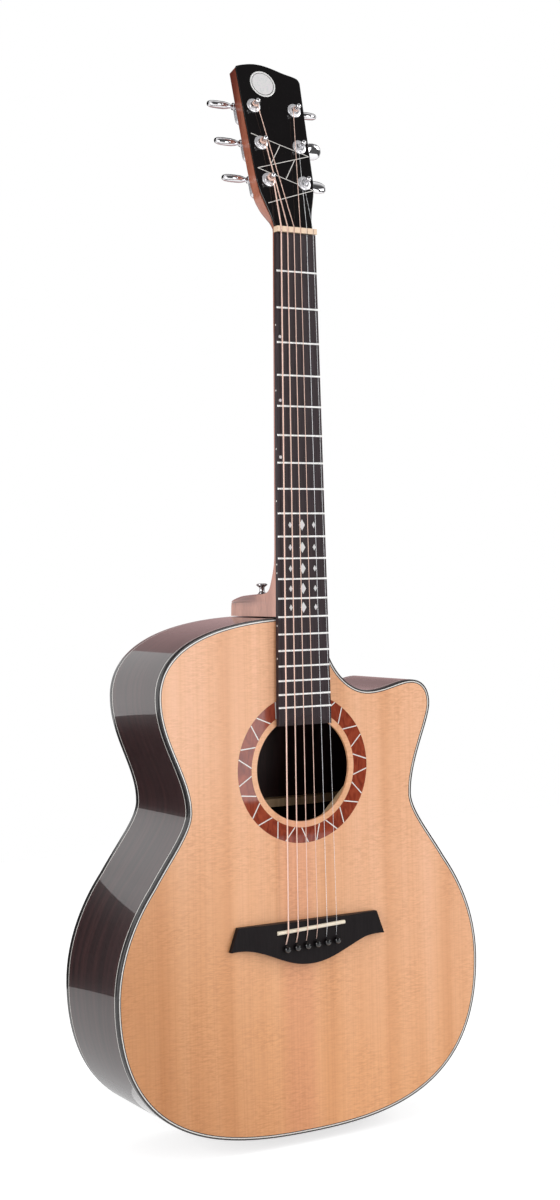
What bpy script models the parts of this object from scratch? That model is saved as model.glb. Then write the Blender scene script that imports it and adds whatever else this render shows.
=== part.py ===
"""Cutaway steel-string acoustic guitar, built as the separate pieces it is made of.

Lengths are in metres. The guitar stands upright: +X is the treble side, +Y the back and +Z runs up the neck.
The pieces are laid out from the nut (z = 0) and the plane of the fret tops (y = 0), and one empty then moves
the whole guitar so that the origin lies where a wall hanger's yoke would carry the headstock.
"""

import math

import bmesh
import bpy
from mathutils import Matrix, Vector

# Clearances
GAP = 0.0003
RUNNING_GAP = 0.0003

# Strings and fingerboard
SCALE_LENGTH = 0.650
FRET_COUNT = 20
BODY_JOINT_FRET = 14
STRING_DIAMETERS = (0.0003, 0.0004, 0.0006, 0.0008, 0.0011, 0.00135)
NUT_SPREAD = 0.0350
SADDLE_SPREAD = 0.0530
PIN_SPREAD = 0.0545
NUT_ACTION = 0.0004
SADDLE_ACTION = 0.0044
FRET_HEIGHT = 0.0010
FRET_WIDTH = 0.0024
BOARD_THICKNESS = 0.0057
BOARD_WIDTH_AT_NUT = 0.0426
BOARD_WIDTH_AT_JOINT = 0.0542
NUT_LENGTH = 0.0052
NUT_STAND = 0.0012

# Body outline: widths are full widths, drops are measured down from the joint with the neck
LOWER_BOUT_WIDTH = 0.3914
LOWER_BOUT_DROP = 0.3425
FLANK_WIDTH = 0.3160
FLANK_DROP = 0.2395
FLANK_SLOPE_DEG = 33.2
WAIST_WIDTH = 0.2424
WAIST_DROP = 0.1753
UPPER_BOUT_WIDTH = 0.3000
UPPER_BOUT_DROP = 0.0715
BODY_LENGTH = 0.4863
HORN_X = 0.1450
HORN_DROP = 0.0885
HORN_TIP_X = 0.1230
HORN_TIP_DROP = 0.0650
CUTAWAY_FLOOR_X = 0.0750
CUTAWAY_FLOOR_DROP = 0.0732
CUTAWAY_START_X = 0.0258
CUTAWAY_START_DROP = 0.0160
CUTAWAY_CORNER_X = 0.0240

# Reaches of the outline's curves beside the points above, as (before, after) going up from the tail
TAIL_REACH = 0.0795
LOWER_BOUT_REACHES = (0.1360, 0.0565)
FLANK_REACHES = (0.0081, 0.0315)
WAIST_REACHES = (0.0167, 0.0325)
CUTAWAY_WAIST_REACH = 0.0320
UPPER_BOUT_REACHES = (0.0400, 0.0550)
SHOULDER_REACH = 0.0760
HORN_REACHES = (0.0170, 0.0145)
HORN_TIP_REACHES = (0.0138, 0.0139)
CUTAWAY_FLOOR_REACHES = (0.0195, 0.0265)
CUTAWAY_START_REACH = 0.0271

# Body depth behind the soundboard's face, at drops from the neck joint
DEPTH_AT_NECK = 0.1010
DEPTH_AT_WAIST = 0.1133
DEPTH_BELOW_WAIST = 0.1156
DEPTH_AT_TAIL = 0.1165
WAIST_BEND_DROP = 0.1700
LOWER_BEND_DROP = 0.2100
FLAT_BACK_DROP = 0.2500

# Plates, sides and their trim
SOUNDBOARD_THICKNESS = 0.0028
BACK_THICKNESS = 0.0028
SIDE_THICKNESS = 0.0025
BINDING_WIDTH = 0.0032
BINDING_HEIGHT = 0.0060
LINING_REACH = 0.0085
LINING_HEIGHT = 0.0140
SOUNDHOLE_RADIUS = 0.0500
BOARD_END_MARGIN = 0.0083
ROSETTE_INNER_RADIUS = 0.0557
ROSETTE_OUTER_RADIUS = 0.0703
ROSETTE_THICKNESS = 0.0012

# Blocks and braces
NECK_BLOCK_LEFT = 0.0380
NECK_BLOCK_RIGHT = 0.0180
NECK_BLOCK_LENGTH = 0.0480
TAIL_BLOCK_WIDTH = 0.0700
TAIL_BLOCK_LENGTH = 0.0220
BRACE_WIDTH = 0.0080
BRACE_HEIGHT = 0.0130
BRACE_END_HEIGHT = 0.0040
BRACE_TAPER_LENGTH = 0.0450
X_BRACE_CROSSING_DROP = 0.2245
TRANSVERSE_BRACE_DROP = 0.0870
TONE_BAR_CENTRE_X = 0.0080
TONE_BAR_DROP = 0.3850
TONE_BAR_LENGTH = 0.1700
TONE_BAR_ANGLE_DEG = 22.0
UPPER_BACK_BRACE_DROP = 0.1870
LOWER_BACK_BRACE_DROP = 0.3300
BACK_BRACE_HEIGHT = 0.0150
BRIDGE_PLATE_WIDTH = 0.0900
BRIDGE_PLATE_LENGTH = 0.0300
BRIDGE_PLATE_THICKNESS = 0.0025

# Bridge, saddle and pins
BRIDGE_TOP_WIDTH = 0.1510
BRIDGE_CORNER_WIDTH = 0.1670
BRIDGE_TOP_EDGE = 0.6454
BRIDGE_CORNER_EDGE = 0.6673
BRIDGE_BELLY_EDGE = 0.6862
BRIDGE_THICKNESS = 0.0082
BRIDGE_WING_THICKNESS = 0.0052
BRIDGE_WING_START = 0.0440
BRIDGE_WING_END = 0.0620
SADDLE_DISTANCE = 0.6525
SADDLE_LENGTH = 0.0730
SADDLE_THICKNESS = 0.0036
SADDLE_TILT_DEG = 2.4
SADDLE_SEAT_DEPTH = 0.0050
PIN_DISTANCE = 0.6684
PIN_HEAD_RADIUS = 0.0034
PIN_SHANK_RADIUS = 0.0024
PIN_TIP_RADIUS = 0.0019
PIN_LENGTH = 0.0210
STRING_HOLE_OFFSET = 0.0046
STRING_SLOT_WIDTH = 0.0022
BALL_END_RADIUS = 0.0019
BALL_END_LENGTH = 0.0032

# Neck and heel
NECK_INSET = 0.0006
NECK_DEPTH_AT_NUT = 0.0132
NECK_STRAIGHT_DEPTH = 0.0008
NECK_SQUARENESS = 1.9
HEEL_TAPER = 0.21
TENON_WIDTH = 0.0160
TENON_LENGTH = 0.0150
TENON_DEPTH = 0.0600
TRUSS_ROD_RADIUS = 0.0030
TRUSS_ROD_DEPTH = 0.0145
TRUSS_ROD_START = 0.0100
TRUSS_ROD_NUT_RADIUS = 0.0040
TRUSS_ROD_NUT_LENGTH = 0.0080
HEX_KEY_RADIUS = 0.0023
HEX_SOCKET_DEPTH = 0.0060

# Heel, as (height above the body joint, depth of its ridge, depth where its straight sides end, squareness)
STRAP_FACET_TOP = (0.0212, 0.0670, 0.0210, 2.4)
STRAP_FACET_FOOT = (0.0206, 0.0800, 0.0227, 2.4)
HEEL_STATIONS = (
    (0.0905, 0.0150, 0.0008, 1.9),
    (0.0575, 0.0154, 0.0012, 1.9),
    (0.0455, 0.0170, 0.0032, 1.9),
    (0.0310, 0.0225, 0.0098, 1.9),
    (0.0245, 0.0295, 0.0138, 1.9),
    (0.0218, 0.0440, 0.0190, 2.1),
    STRAP_FACET_TOP,
    STRAP_FACET_FOOT,
    (0.0195, 0.0865, 0.0255, 4.0),
    (0.0180, 0.0940, 0.0300, 4.5),
    (0.0160, 0.0995, 0.0370, 6.0),
    (0.0142, DEPTH_AT_NECK, 0.0520, 8.0),
    (0.0130, DEPTH_AT_NECK, 0.0900, 7.0),
    (0.0003, DEPTH_AT_NECK, 0.0980, 6.0),
)

# Headstock
HEADSTOCK_TILT_DEG = 16.0
HEADSTOCK_SETBACK = 0.0045
OVERLAY_THICKNESS = 0.0020
HEADSTOCK_WOOD_THICKNESS = 0.0130
HEADSTOCK_LENGTH = 0.1720
HEADSTOCK_TOP_WIDTH = 0.0696
YOKE_HEIGHT = 0.0260

# Sides of the headstock's face, as (height up the face, half width to the bass, half width to the treble)
HEADSTOCK_SIDES = (
    (0.0012, 0.0214, 0.0203),
    (0.0110, 0.0228, 0.0212),
    (0.0230, 0.0262, 0.0240),
    (0.0370, 0.0302, 0.0281),
    (0.0500, 0.0319, 0.0304),
)

# Throat under the headstock, as (height, reach beside the face, depth behind the overlay, squareness)
THROAT_STATIONS = (
    (0.0012, -0.0005, 0.0140, 1.9),
    (0.0080, -0.0004, 0.0155, 2.2),
    (0.0150, 0.0002, 0.0172, 2.9),
    (0.0230, 0.0008, 0.0183, 4.0),
    (0.0300, 0.0010, 0.0175, 5.5),
    (0.0350, 0.0007, 0.0154, 8.0),
    (0.0392, 0.0000, 0.0128, 12.0),
)
THROAT_SETBACK = 0.0003

# Tuners: the places are (distance from the centre line, height up the headstock)
TUNER_PLACES = ((0.0192, 0.0483), (0.0209, 0.0868), (0.0223, 0.1259))
KEY_TURNS_DEG = (67.0, 122.0, 32.0, 30.0, 36.0, 28.0)
WHEEL_TEETH = 18
WORM_MODULE = 0.0007
WORM_PITCH_RADIUS = 0.0033
THREAD_TIP = 0.00055
THREAD_ROOT = 0.00080
WORM_TURNS = 2.0
WORM_TURN_POINTS = 10
WHEEL_WIDTH = 0.0024
HOUSING_WALL = 0.0010
HOUSING_HALF_WIDTH = 0.0083
HOUSING_DEPTH = 0.0105
POST_RADIUS = 0.0030
POST_STUB_RADIUS = 0.0020
POST_WAIST_RADIUS = 0.0019
POST_SHOULDER = 0.0027
POST_BALL_RADIUS = 0.0024
POST_BALL_HEIGHT = 0.0098
BUSHING_FLANGE_RADIUS = 0.0070
BUSHING_FLANGE_THICKNESS = 0.0012
BUSHING_COLLAR_RADIUS = 0.0046
BUSHING_COLLAR_HEIGHT = 0.0024
BUSHING_SLEEVE_RADIUS = 0.0047
KEY_SHAFT_RADIUS = 0.0019
KEY_COLLAR_RADIUS = 0.0034
BUTTON_HALF_WIDTH = 0.0081
BUTTON_HALF_THICKNESS = 0.0036
BUTTON_START = 0.0130
BUTTON_END = 0.0372

# String windings on the posts
WINDING_TURNS = (2.0, 2.0, 1.75, 1.75, 1.75, 1.75)
WINDING_SPACING = 0.00055
LOOP_POINTS = 20

# Strap buttons: rings of (radius, height above the wood)
END_PIN_DEPTH = 0.0600
STRAP_BUTTON_RINGS = (
    (0.0015, -0.0120),
    (0.0015, 0.0003),
    (0.0042, 0.0003),
    (0.0040, 0.0012),
    (0.0026, 0.0026),
    (0.0026, 0.0056),
    (0.0054, 0.0072),
    (0.0054, 0.0084),
    (0.0046, 0.0092),
)
END_PIN_RINGS = (
    (0.0036, -0.0200),
    (0.0040, 0.0003),
    (0.0060, 0.0003),
    (0.0056, 0.0020),
    (0.0034, 0.0034),
    (0.0034, 0.0064),
    (0.0058, 0.0084),
    (0.0058, 0.0098),
    (0.0048, 0.0108),
)

# Sizes that follow from the ones above
SOUNDBOARD_Y = FRET_HEIGHT + BOARD_THICKNESS + GAP
UNDER_BOARD_Y = SOUNDBOARD_Y + SOUNDBOARD_THICKNESS
WORM_PITCH = math.pi * WORM_MODULE
WHEEL_PITCH_RADIUS = WORM_MODULE * WHEEL_TEETH / 2
WORM_AXIS_HEIGHT = WHEEL_PITCH_RADIUS + WORM_PITCH_RADIUS
HEADSTOCK_BACK = -(OVERLAY_THICKNESS + GAP + HEADSTOCK_WOOD_THICKNESS)
HOUSING_FRONT = HEADSTOCK_BACK - GAP
WORM_AXIS_DEPTH = HOUSING_FRONT - HOUSING_DEPTH / 2
BRIDGE_TOP_Y = SOUNDBOARD_Y - GAP - BRIDGE_THICKNESS
SADDLE_TOP_Y = -SADDLE_ACTION + GAP


def fret_z(number):
    """Height of a fret, counted from the nut."""
    return -SCALE_LENGTH * (1 - 2 ** (-number / 12))


JOINT_Z = fret_z(BODY_JOINT_FRET)
SOUNDHOLE_Z = fret_z(FRET_COUNT) - BOARD_END_MARGIN - SOUNDHOLE_RADIUS


def back_y(z):
    """Depth of the back's outer face at a height: it slopes from the neck to the waist, then eases to flat."""
    stations = (
        (0.0, DEPTH_AT_NECK),
        (WAIST_BEND_DROP, DEPTH_AT_WAIST),
        (LOWER_BEND_DROP, DEPTH_BELOW_WAIST),
        (FLAT_BACK_DROP, DEPTH_AT_TAIL),
    )
    drop = JOINT_Z - z
    for (drop_a, depth_a), (drop_b, depth_b) in zip(stations, stations[1:]):
        if drop <= drop_b:
            return SOUNDBOARD_Y + depth_a + (depth_b - depth_a) * (drop - drop_a) / (drop_b - drop_a)
    return SOUNDBOARD_Y + DEPTH_AT_TAIL


def board_half_width(z):
    """Half the fingerboard's width at a height."""
    slope = (BOARD_WIDTH_AT_JOINT - BOARD_WIDTH_AT_NUT) / JOINT_Z
    return (BOARD_WIDTH_AT_NUT + slope * z) / 2


# Scene, materials and mesh helpers


def clear_scene():
    for item in list(bpy.data.objects):
        bpy.data.objects.remove(item, do_unlink=True)


def make_material(name, color, roughness, metallic=0.0):
    material = bpy.data.materials.new(name)
    material.use_nodes = True
    shader = material.node_tree.nodes["Principled BSDF"]
    shader.inputs["Base Color"].default_value = (*color, 1.0)
    shader.inputs["Roughness"].default_value = roughness
    shader.inputs["Metallic"].default_value = metallic
    return material


def add_object(name, mesh, material=None, frame=None, parent=None):
    """Link a mesh to the scene as an object that stands in the given frame."""
    item = bpy.data.objects.new(name, mesh)
    bpy.context.scene.collection.objects.link(item)
    if material is not None:
        mesh.materials.clear()
        mesh.materials.append(material)
    if frame is not None:
        item.matrix_local = frame
    if parent is not None:
        item.parent = parent
    return item


def mesh_from(name, points, faces, sharp_deg=35.0):
    """A closed mesh with its faces turned outward, smooth except at sharp edges."""
    mesh = bpy.data.meshes.new(name)
    mesh.from_pydata([tuple(point) for point in points], [], faces)
    shape = bmesh.new()
    shape.from_mesh(mesh)
    bmesh.ops.recalc_face_normals(shape, faces=shape.faces)
    shape.to_mesh(mesh)
    shape.free()
    mesh.shade_smooth()
    mesh.set_sharp_from_angle(angle=math.radians(sharp_deg))
    return mesh


def loft(name, rings, closed=False, sharp_deg=35.0):
    """Join rings of equal point counts; the ends are capped, or meet each other when closed."""
    count = len(rings[0])
    points = [point for ring in rings for point in ring]
    faces = []
    last = len(rings) if closed else len(rings) - 1
    for index in range(last):
        start = index * count
        following = ((index + 1) % len(rings)) * count
        for step in range(count):
            after = (step + 1) % count
            faces.append((start + step, start + after, following + after, following + step))
    if not closed:
        faces.append(tuple(range(count))[::-1])
        faces.append(tuple(range((len(rings) - 1) * count, len(rings) * count)))
    return mesh_from(name, points, faces, sharp_deg)


def circle(radius, count, centre=(0.0, 0.0), phase=0.0):
    return [
        (
            centre[0] + radius * math.cos(phase + 2 * math.pi * step / count),
            centre[1] + radius * math.sin(phase + 2 * math.pi * step / count),
        )
        for step in range(count)
    ]


def turned(name, rings, count, closed=False):
    """A turned piece about Z from (radius, height) rings, bottom to top."""
    levels = [[(x, y, height) for x, y in circle(radius, count)] for radius, height in rings]
    return loft(name, levels, closed)


def prism(name, outline, front_y, rear_y):
    """An outline of (x, z) points given thickness along Y. Each side is a number or a function of z."""
    front = [(x, front_y(z) if callable(front_y) else front_y, z) for x, z in outline]
    rear = [(x, rear_y(z) if callable(rear_y) else rear_y, z) for x, z in outline]
    return loft(name, [front, rear])


def box(name, low, high):
    outline = [(low[0], low[2]), (high[0], low[2]), (high[0], high[2]), (low[0], high[2])]
    return prism(name, outline, low[1], high[1])


def joined(name, meshes):
    """Several separate meshes as one, for a cutter that cuts in several places at once."""
    shape = bmesh.new()
    for mesh in meshes:
        shape.from_mesh(mesh)
    result = bpy.data.meshes.new(name)
    shape.to_mesh(result)
    shape.free()
    return result


def moved(mesh, frame):
    mesh.transform(frame)
    if frame.determinant() < 0:
        mesh.flip_normals()
    return mesh


def cutter(name, mesh, frame=None, parent=None):
    item = add_object(name, mesh, None, frame, parent)
    item.hide_render = True
    item.display_type = "WIRE"
    return item


def combine(item, other, operation="DIFFERENCE"):
    modifier = item.modifiers.new(other.name, "BOOLEAN")
    modifier.operation = operation
    modifier.solver = "EXACT"
    modifier.object = other


def baked(item, others, operation="DIFFERENCE"):
    """The mesh of an object after it is cut or joined with others, which are then removed with it."""
    for other in others:
        combine(item, other, operation)
    bpy.context.view_layer.update()
    graph = bpy.context.evaluated_depsgraph_get()
    mesh = bpy.data.meshes.new_from_object(item.evaluated_get(graph))
    for helper in [item, *others]:
        bpy.data.objects.remove(helper, do_unlink=True)
    mesh.shade_smooth()
    mesh.set_sharp_from_angle(angle=math.radians(35.0))
    return mesh


# Body outline


def bezier(start, start_pull, end_pull, end, count):
    """Points of a cubic curve, without its last one."""
    points = []
    for step in range(count):
        t = step / count
        weights = ((1 - t) ** 3, 3 * (1 - t) ** 2 * t, 3 * (1 - t) * t**2, t**3)
        corners = (start, start_pull, end_pull, end)
        points.append(tuple(sum(w * c[axis] for w, c in zip(weights, corners)) for axis in (0, 1)))
    return points


def half_outline(side):
    """One side of the body from the bottom centre to the waist, as (x, z)."""
    lower = (side * LOWER_BOUT_WIDTH / 2, JOINT_Z - LOWER_BOUT_DROP)
    flank = (side * FLANK_WIDTH / 2, JOINT_Z - FLANK_DROP)
    waist = (side * WAIST_WIDTH / 2, JOINT_Z - WAIST_DROP)
    bottom = (0.0, JOINT_Z - BODY_LENGTH)
    slope = math.radians(FLANK_SLOPE_DEG)
    lean = (-side * math.sin(slope), math.cos(slope))
    before, after = FLANK_REACHES
    into_flank = (flank[0] - lean[0] * before, flank[1] - lean[1] * before)
    out_of_flank = (flank[0] + lean[0] * after, flank[1] + lean[1] * after)
    points = bezier(bottom, beside(bottom, side * TAIL_REACH), above(lower, -LOWER_BOUT_REACHES[0]), lower, 9)
    points += bezier(lower, above(lower, LOWER_BOUT_REACHES[1]), into_flank, flank, 5)
    points += bezier(flank, out_of_flank, above(waist, -WAIST_REACHES[0]), waist, 4)
    return points, waist


def above(point, distance):
    return (point[0], point[1] + distance)


def beside(point, distance):
    return (point[0] + distance, point[1])


def body_outline():
    """The whole outer outline, round from the bottom centre by the treble side, as (x, z)."""
    points, treble_waist = half_outline(1)
    bass, bass_waist = half_outline(-1)
    horn = (HORN_X, JOINT_Z - HORN_DROP)
    tip = (HORN_TIP_X, JOINT_Z - HORN_TIP_DROP)
    floor = (CUTAWAY_FLOOR_X, JOINT_Z - CUTAWAY_FLOOR_DROP)
    start = (CUTAWAY_START_X, JOINT_Z - CUTAWAY_START_DROP)
    upper = (-UPPER_BOUT_WIDTH / 2, JOINT_Z - UPPER_BOUT_DROP)
    shoulder = (0.0, JOINT_Z)
    curves = (
        (treble_waist, above(treble_waist, CUTAWAY_WAIST_REACH), above(horn, -HORN_REACHES[0]), horn, 5),
        (horn, above(horn, HORN_REACHES[1]), beside(tip, HORN_TIP_REACHES[0]), tip, 4),
        (tip, beside(tip, -HORN_TIP_REACHES[1]), beside(floor, CUTAWAY_FLOOR_REACHES[0]), floor, 4),
        (floor, beside(floor, -CUTAWAY_FLOOR_REACHES[1]), above(start, -CUTAWAY_START_REACH), start, 5),
    )
    for curve in curves:
        points += bezier(*curve)
    points += [start, (CUTAWAY_CORNER_X, JOINT_Z)]
    curves = (
        (shoulder, beside(shoulder, -SHOULDER_REACH), above(upper, UPPER_BOUT_REACHES[1]), upper, 6),
        (upper, above(upper, -UPPER_BOUT_REACHES[0]), above(bass_waist, WAIST_REACHES[1]), bass_waist, 5),
    )
    for curve in curves:
        points += bezier(*curve)
    points += [bass_waist]
    points += bass[:0:-1]
    return points


def inset(outline, distance):
    """The outline moved inward by a distance; its points run counterclockwise seen from the front."""
    result = []
    count = len(outline)
    for index in range(count):
        here = Vector(outline[index])
        before = (here - Vector(outline[index - 1])).normalized()
        after = (Vector(outline[(index + 1) % count]) - here).normalized()
        inward_a = Vector((-before.y, before.x))
        inward_b = Vector((-after.y, after.x))
        shift = (inward_a + inward_b) / (1 + inward_a.dot(inward_b))
        result.append(tuple(here + shift * distance))
    return result


def from_front(depth):
    return lambda z: SOUNDBOARD_Y + depth


def from_back(depth):
    return lambda z: back_y(z) - depth


def band(name, outline, section):
    """A closed band along the outline. The section is a loop of (distance inward, depth function)."""
    rings = []
    for distance, depth in section:
        rings.append([(x, depth(z), z) for x, z in inset(outline, distance)])
    return loft(name, rings, closed=True, sharp_deg=40.0)


def bent_plate(name, outline, thickness):
    """A flat plate cut at the back's bends and pushed out to the back's depth."""
    mesh = prism(name, outline, 0.0, thickness)
    shape = bmesh.new()
    shape.from_mesh(mesh)
    for drop in (WAIST_BEND_DROP, LOWER_BEND_DROP, FLAT_BACK_DROP):
        everything = shape.verts[:] + shape.edges[:] + shape.faces[:]
        bmesh.ops.bisect_plane(shape, geom=everything, plane_co=(0, 0, JOINT_Z - drop), plane_no=(0, 0, 1))
    for vertex in shape.verts:
        vertex.co.y += back_y(vertex.co.z) - thickness
    shape.to_mesh(mesh)
    shape.free()
    return mesh


def rim_crossing(outline, start, direction):
    """Distance from a point to the outline along a direction."""
    nearest = math.inf
    for (ax, az), (bx, bz) in zip(outline, outline[1:] + outline[:1]):
        edge = (bx - ax, bz - az)
        cross = direction[0] * edge[1] - direction[1] * edge[0]
        if abs(cross) < 1e-12:
            continue
        offset = (ax - start[0], az - start[1])
        along = (offset[0] * edge[1] - offset[1] * edge[0]) / cross
        share = (offset[0] * direction[1] - offset[1] * direction[0]) / cross
        if along > 0 and -1e-9 <= share <= 1 + 1e-9:
            nearest = min(nearest, along)
    return nearest


def brace_profile(start, end, height, notch=None):
    """Side view of a brace as (along, down): its flat glued edge, tapered ends and a notch at half height."""
    taper = min(BRACE_TAPER_LENGTH, (end - start) / 3)
    glued = [(start, 0.0), (end, 0.0)]
    free = [(end, BRACE_END_HEIGHT), (end - taper, height)]
    free += [(start + taper, height), (start, BRACE_END_HEIGHT)]
    if notch is None:
        return glued + free
    half = BRACE_WIDTH / 2 + GAP
    if notch == "glued":
        depth = height / 2 + GAP / 2
        return [glued[0], (-half, 0.0), (-half, depth), (half, depth), (half, 0.0), glued[1]] + free
    depth = height / 2 - GAP / 2 if notch == "free" else height
    return glued + free[:2] + [(half, height), (half, depth), (-half, depth), (-half, height)] + free[2:]


def brace(name, centre, angle_deg, profile, glued_y, into):
    """A brace through a centre, its profile standing off a plate in the direction given by into."""
    angle = math.radians(angle_deg)
    along = (math.cos(angle), math.sin(angle))
    across = (-along[1], along[0])
    rings = []
    for side in (-0.5, 0.5):
        offset = side * BRACE_WIDTH
        ring = []
        for distance, down in profile:
            x = centre[0] + along[0] * distance + across[0] * offset
            z = centre[1] + along[1] * distance + across[1] * offset
            y = glued_y(z) if callable(glued_y) else glued_y
            ring.append((x, y + into * down, z))
        rings.append(ring)
    return loft(name, rings)


# Body


def add_body(root, materials):
    outline = body_outline()
    inner_edge = BINDING_WIDTH + GAP
    plate_edge = inset(outline, inner_edge)
    under_top = SOUNDBOARD_THICKNESS + GAP
    under_back = BACK_THICKNESS + GAP

    hole = prism("soundhole_cutter", circle(SOUNDHOLE_RADIUS, 40, (0, SOUNDHOLE_Z)), -0.01, 0.03)
    hole_cutter = cutter("soundhole_cutter", hole, parent=root)
    recess_rings = [
        [(x, y, z) for x, z in circle(radius, 40, (0, SOUNDHOLE_Z))]
        for radius, y in (
            (ROSETTE_INNER_RADIUS - GAP, -0.01),
            (ROSETTE_OUTER_RADIUS + GAP, -0.01),
            (ROSETTE_OUTER_RADIUS + GAP, SOUNDBOARD_Y + ROSETTE_THICKNESS + GAP),
            (ROSETTE_INNER_RADIUS - GAP, SOUNDBOARD_Y + ROSETTE_THICKNESS + GAP),
        )
    ]
    recess = loft("rosette_recess", recess_rings, closed=True)
    recess_cutter = cutter("rosette_recess_cutter", recess, parent=root)

    soundboard_mesh = prism("soundboard", plate_edge, SOUNDBOARD_Y, UNDER_BOARD_Y)
    soundboard = add_object("soundboard", soundboard_mesh, materials["spruce"], parent=root)
    combine(soundboard, hole_cutter)
    combine(soundboard, recess_cutter)

    rosette_rings = [
        [(x, y, z) for x, z in circle(radius, 40, (0, SOUNDHOLE_Z))]
        for radius, y in (
            (ROSETTE_INNER_RADIUS, SOUNDBOARD_Y),
            (ROSETTE_OUTER_RADIUS, SOUNDBOARD_Y),
            (ROSETTE_OUTER_RADIUS, SOUNDBOARD_Y + ROSETTE_THICKNESS),
            (ROSETTE_INNER_RADIUS, SOUNDBOARD_Y + ROSETTE_THICKNESS),
        )
    ]
    add_object("rosette", loft("rosette", rosette_rings, closed=True), materials["burl"], parent=root)

    plate = bent_plate("back_plate", plate_edge, BACK_THICKNESS)
    add_object("back_plate", plate, materials["rosewood"], parent=root)

    top_section = (
        (0.0, from_front(0.0)),
        (BINDING_WIDTH, from_front(0.0)),
        (BINDING_WIDTH, from_front(BINDING_HEIGHT)),
        (0.0, from_front(BINDING_HEIGHT)),
    )
    back_section = (
        (0.0, from_back(0.0)),
        (BINDING_WIDTH, from_back(0.0)),
        (BINDING_WIDTH, from_back(BINDING_HEIGHT)),
        (0.0, from_back(BINDING_HEIGHT)),
    )
    rabbet = BINDING_HEIGHT + GAP
    lining_end = under_top + LINING_HEIGHT
    side_section = (
        (0.0, from_front(rabbet)),
        (0.0, from_back(rabbet)),
        (inner_edge, from_back(rabbet)),
        (inner_edge, from_back(under_back)),
        (LINING_REACH, from_back(under_back)),
        (SIDE_THICKNESS, from_back(lining_end)),
        (SIDE_THICKNESS, from_front(lining_end)),
        (LINING_REACH, from_front(under_top)),
        (inner_edge, from_front(under_top)),
        (inner_edge, from_front(rabbet)),
    )
    top_trim = band("top_binding", outline, top_section)
    top_binding = add_object("top_binding", top_trim, materials["ebony"], parent=root)
    back_trim = band("back_binding", outline, back_section)
    add_object("back_binding", back_trim, materials["ebony"], parent=root)
    rim = band("sides", outline, side_section)
    sides = add_object("sides", rim, materials["rosewood"], parent=root)

    add_blocks(root, materials, outline, sides, top_binding, under_top, under_back)
    add_braces(root, materials, outline, under_top, under_back)
    return soundboard


def block_mesh(name, left, right, low_z, high_z, front, rear_margin):
    """A block between the two plates, with its rear face along the back's slope."""
    corners = [(-left, low_z), (right, low_z), (right, high_z), (-left, high_z)]
    return prism(name, corners, front, from_back(rear_margin))


def add_blocks(root, materials, outline, sides, top_binding, under_top, under_back):
    """Neck block and tail block, let into the linings, with the openings that pass through the sides."""
    front = SOUNDBOARD_Y + under_top
    bottom_z = JOINT_Z - BODY_LENGTH
    neck_low = JOINT_Z - NECK_BLOCK_LENGTH
    tail_high = bottom_z + TAIL_BLOCK_LENGTH
    tail_half = TAIL_BLOCK_WIDTH / 2
    wall = BINDING_WIDTH
    inner = prism("block_bounds", inset(outline, wall + GAP), -0.02, 0.2)
    inside = cutter("block_bounds", inner, parent=root)
    inner = prism("lining_bounds", inset(outline, wall), -0.02, 0.2)
    lining_bounds = cutter("lining_bounds", inner, parent=root)

    tail_low = bottom_z - 0.01
    neck_high = JOINT_Z + 0.01
    blank = block_mesh("neck_block", NECK_BLOCK_LEFT, NECK_BLOCK_RIGHT, neck_low, neck_high, front, under_back)
    neck_block = add_object("neck_block", blank, materials["cedar"], parent=root)
    blank = block_mesh("tail_block", tail_half, tail_half, tail_low, tail_high, front, under_back)
    tail_block = add_object("tail_block", blank, materials["cedar"], parent=root)
    for block in (neck_block, tail_block):
        combine(block, inside, "INTERSECT")

    neck_room = box(
        "neck_block_room",
        (-NECK_BLOCK_LEFT - GAP, front - 0.01, neck_low - GAP),
        (NECK_BLOCK_RIGHT + GAP, 0.2, JOINT_Z + 0.01),
    )
    tail_room = box(
        "tail_block_room",
        (-tail_half - GAP, front - 0.01, tail_low),
        (tail_half + GAP, 0.2, tail_high + GAP),
    )
    for name, mesh in (("neck_block_room", neck_room), ("tail_block_room", tail_room)):
        room = cutter(name, mesh, parent=root)
        combine(room, lining_bounds, "INTERSECT")
        combine(sides, room)

    slot = box(
        "neck_slot",
        (-TENON_WIDTH / 2 - GAP, -0.01, JOINT_Z - TENON_LENGTH - GAP),
        (TENON_WIDTH / 2 + GAP, front + TENON_DEPTH + GAP, JOINT_Z + 0.01),
    )
    slot_cutter = cutter("neck_slot", slot, parent=root)
    for item in (sides, top_binding, neck_block):
        combine(item, slot_cutter)

    rod_reach = TRUSS_ROD_RADIUS + GAP
    channel = box(
        "block_channel",
        (-rod_reach, front - 0.01, neck_low - 0.01),
        (rod_reach, TRUSS_ROD_DEPTH + rod_reach, JOINT_Z),
    )
    combine(neck_block, cutter("block_channel", channel, parent=root))

    pin_hole = turned("end_pin_hole", ((0.0043, -0.04), (0.0043, 0.01)), 12)
    hole_frame = Matrix.Translation((0, END_PIN_DEPTH, bottom_z)) @ Matrix.Rotation(math.pi, 4, "X")
    end_hole = cutter("end_pin_hole", pin_hole, hole_frame, root)
    for item in (sides, tail_block):
        combine(item, end_hole)
    end_pin = turned("end_pin", END_PIN_RINGS, 14)
    add_object("end_pin", end_pin, materials["chrome"], hole_frame, root)


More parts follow.
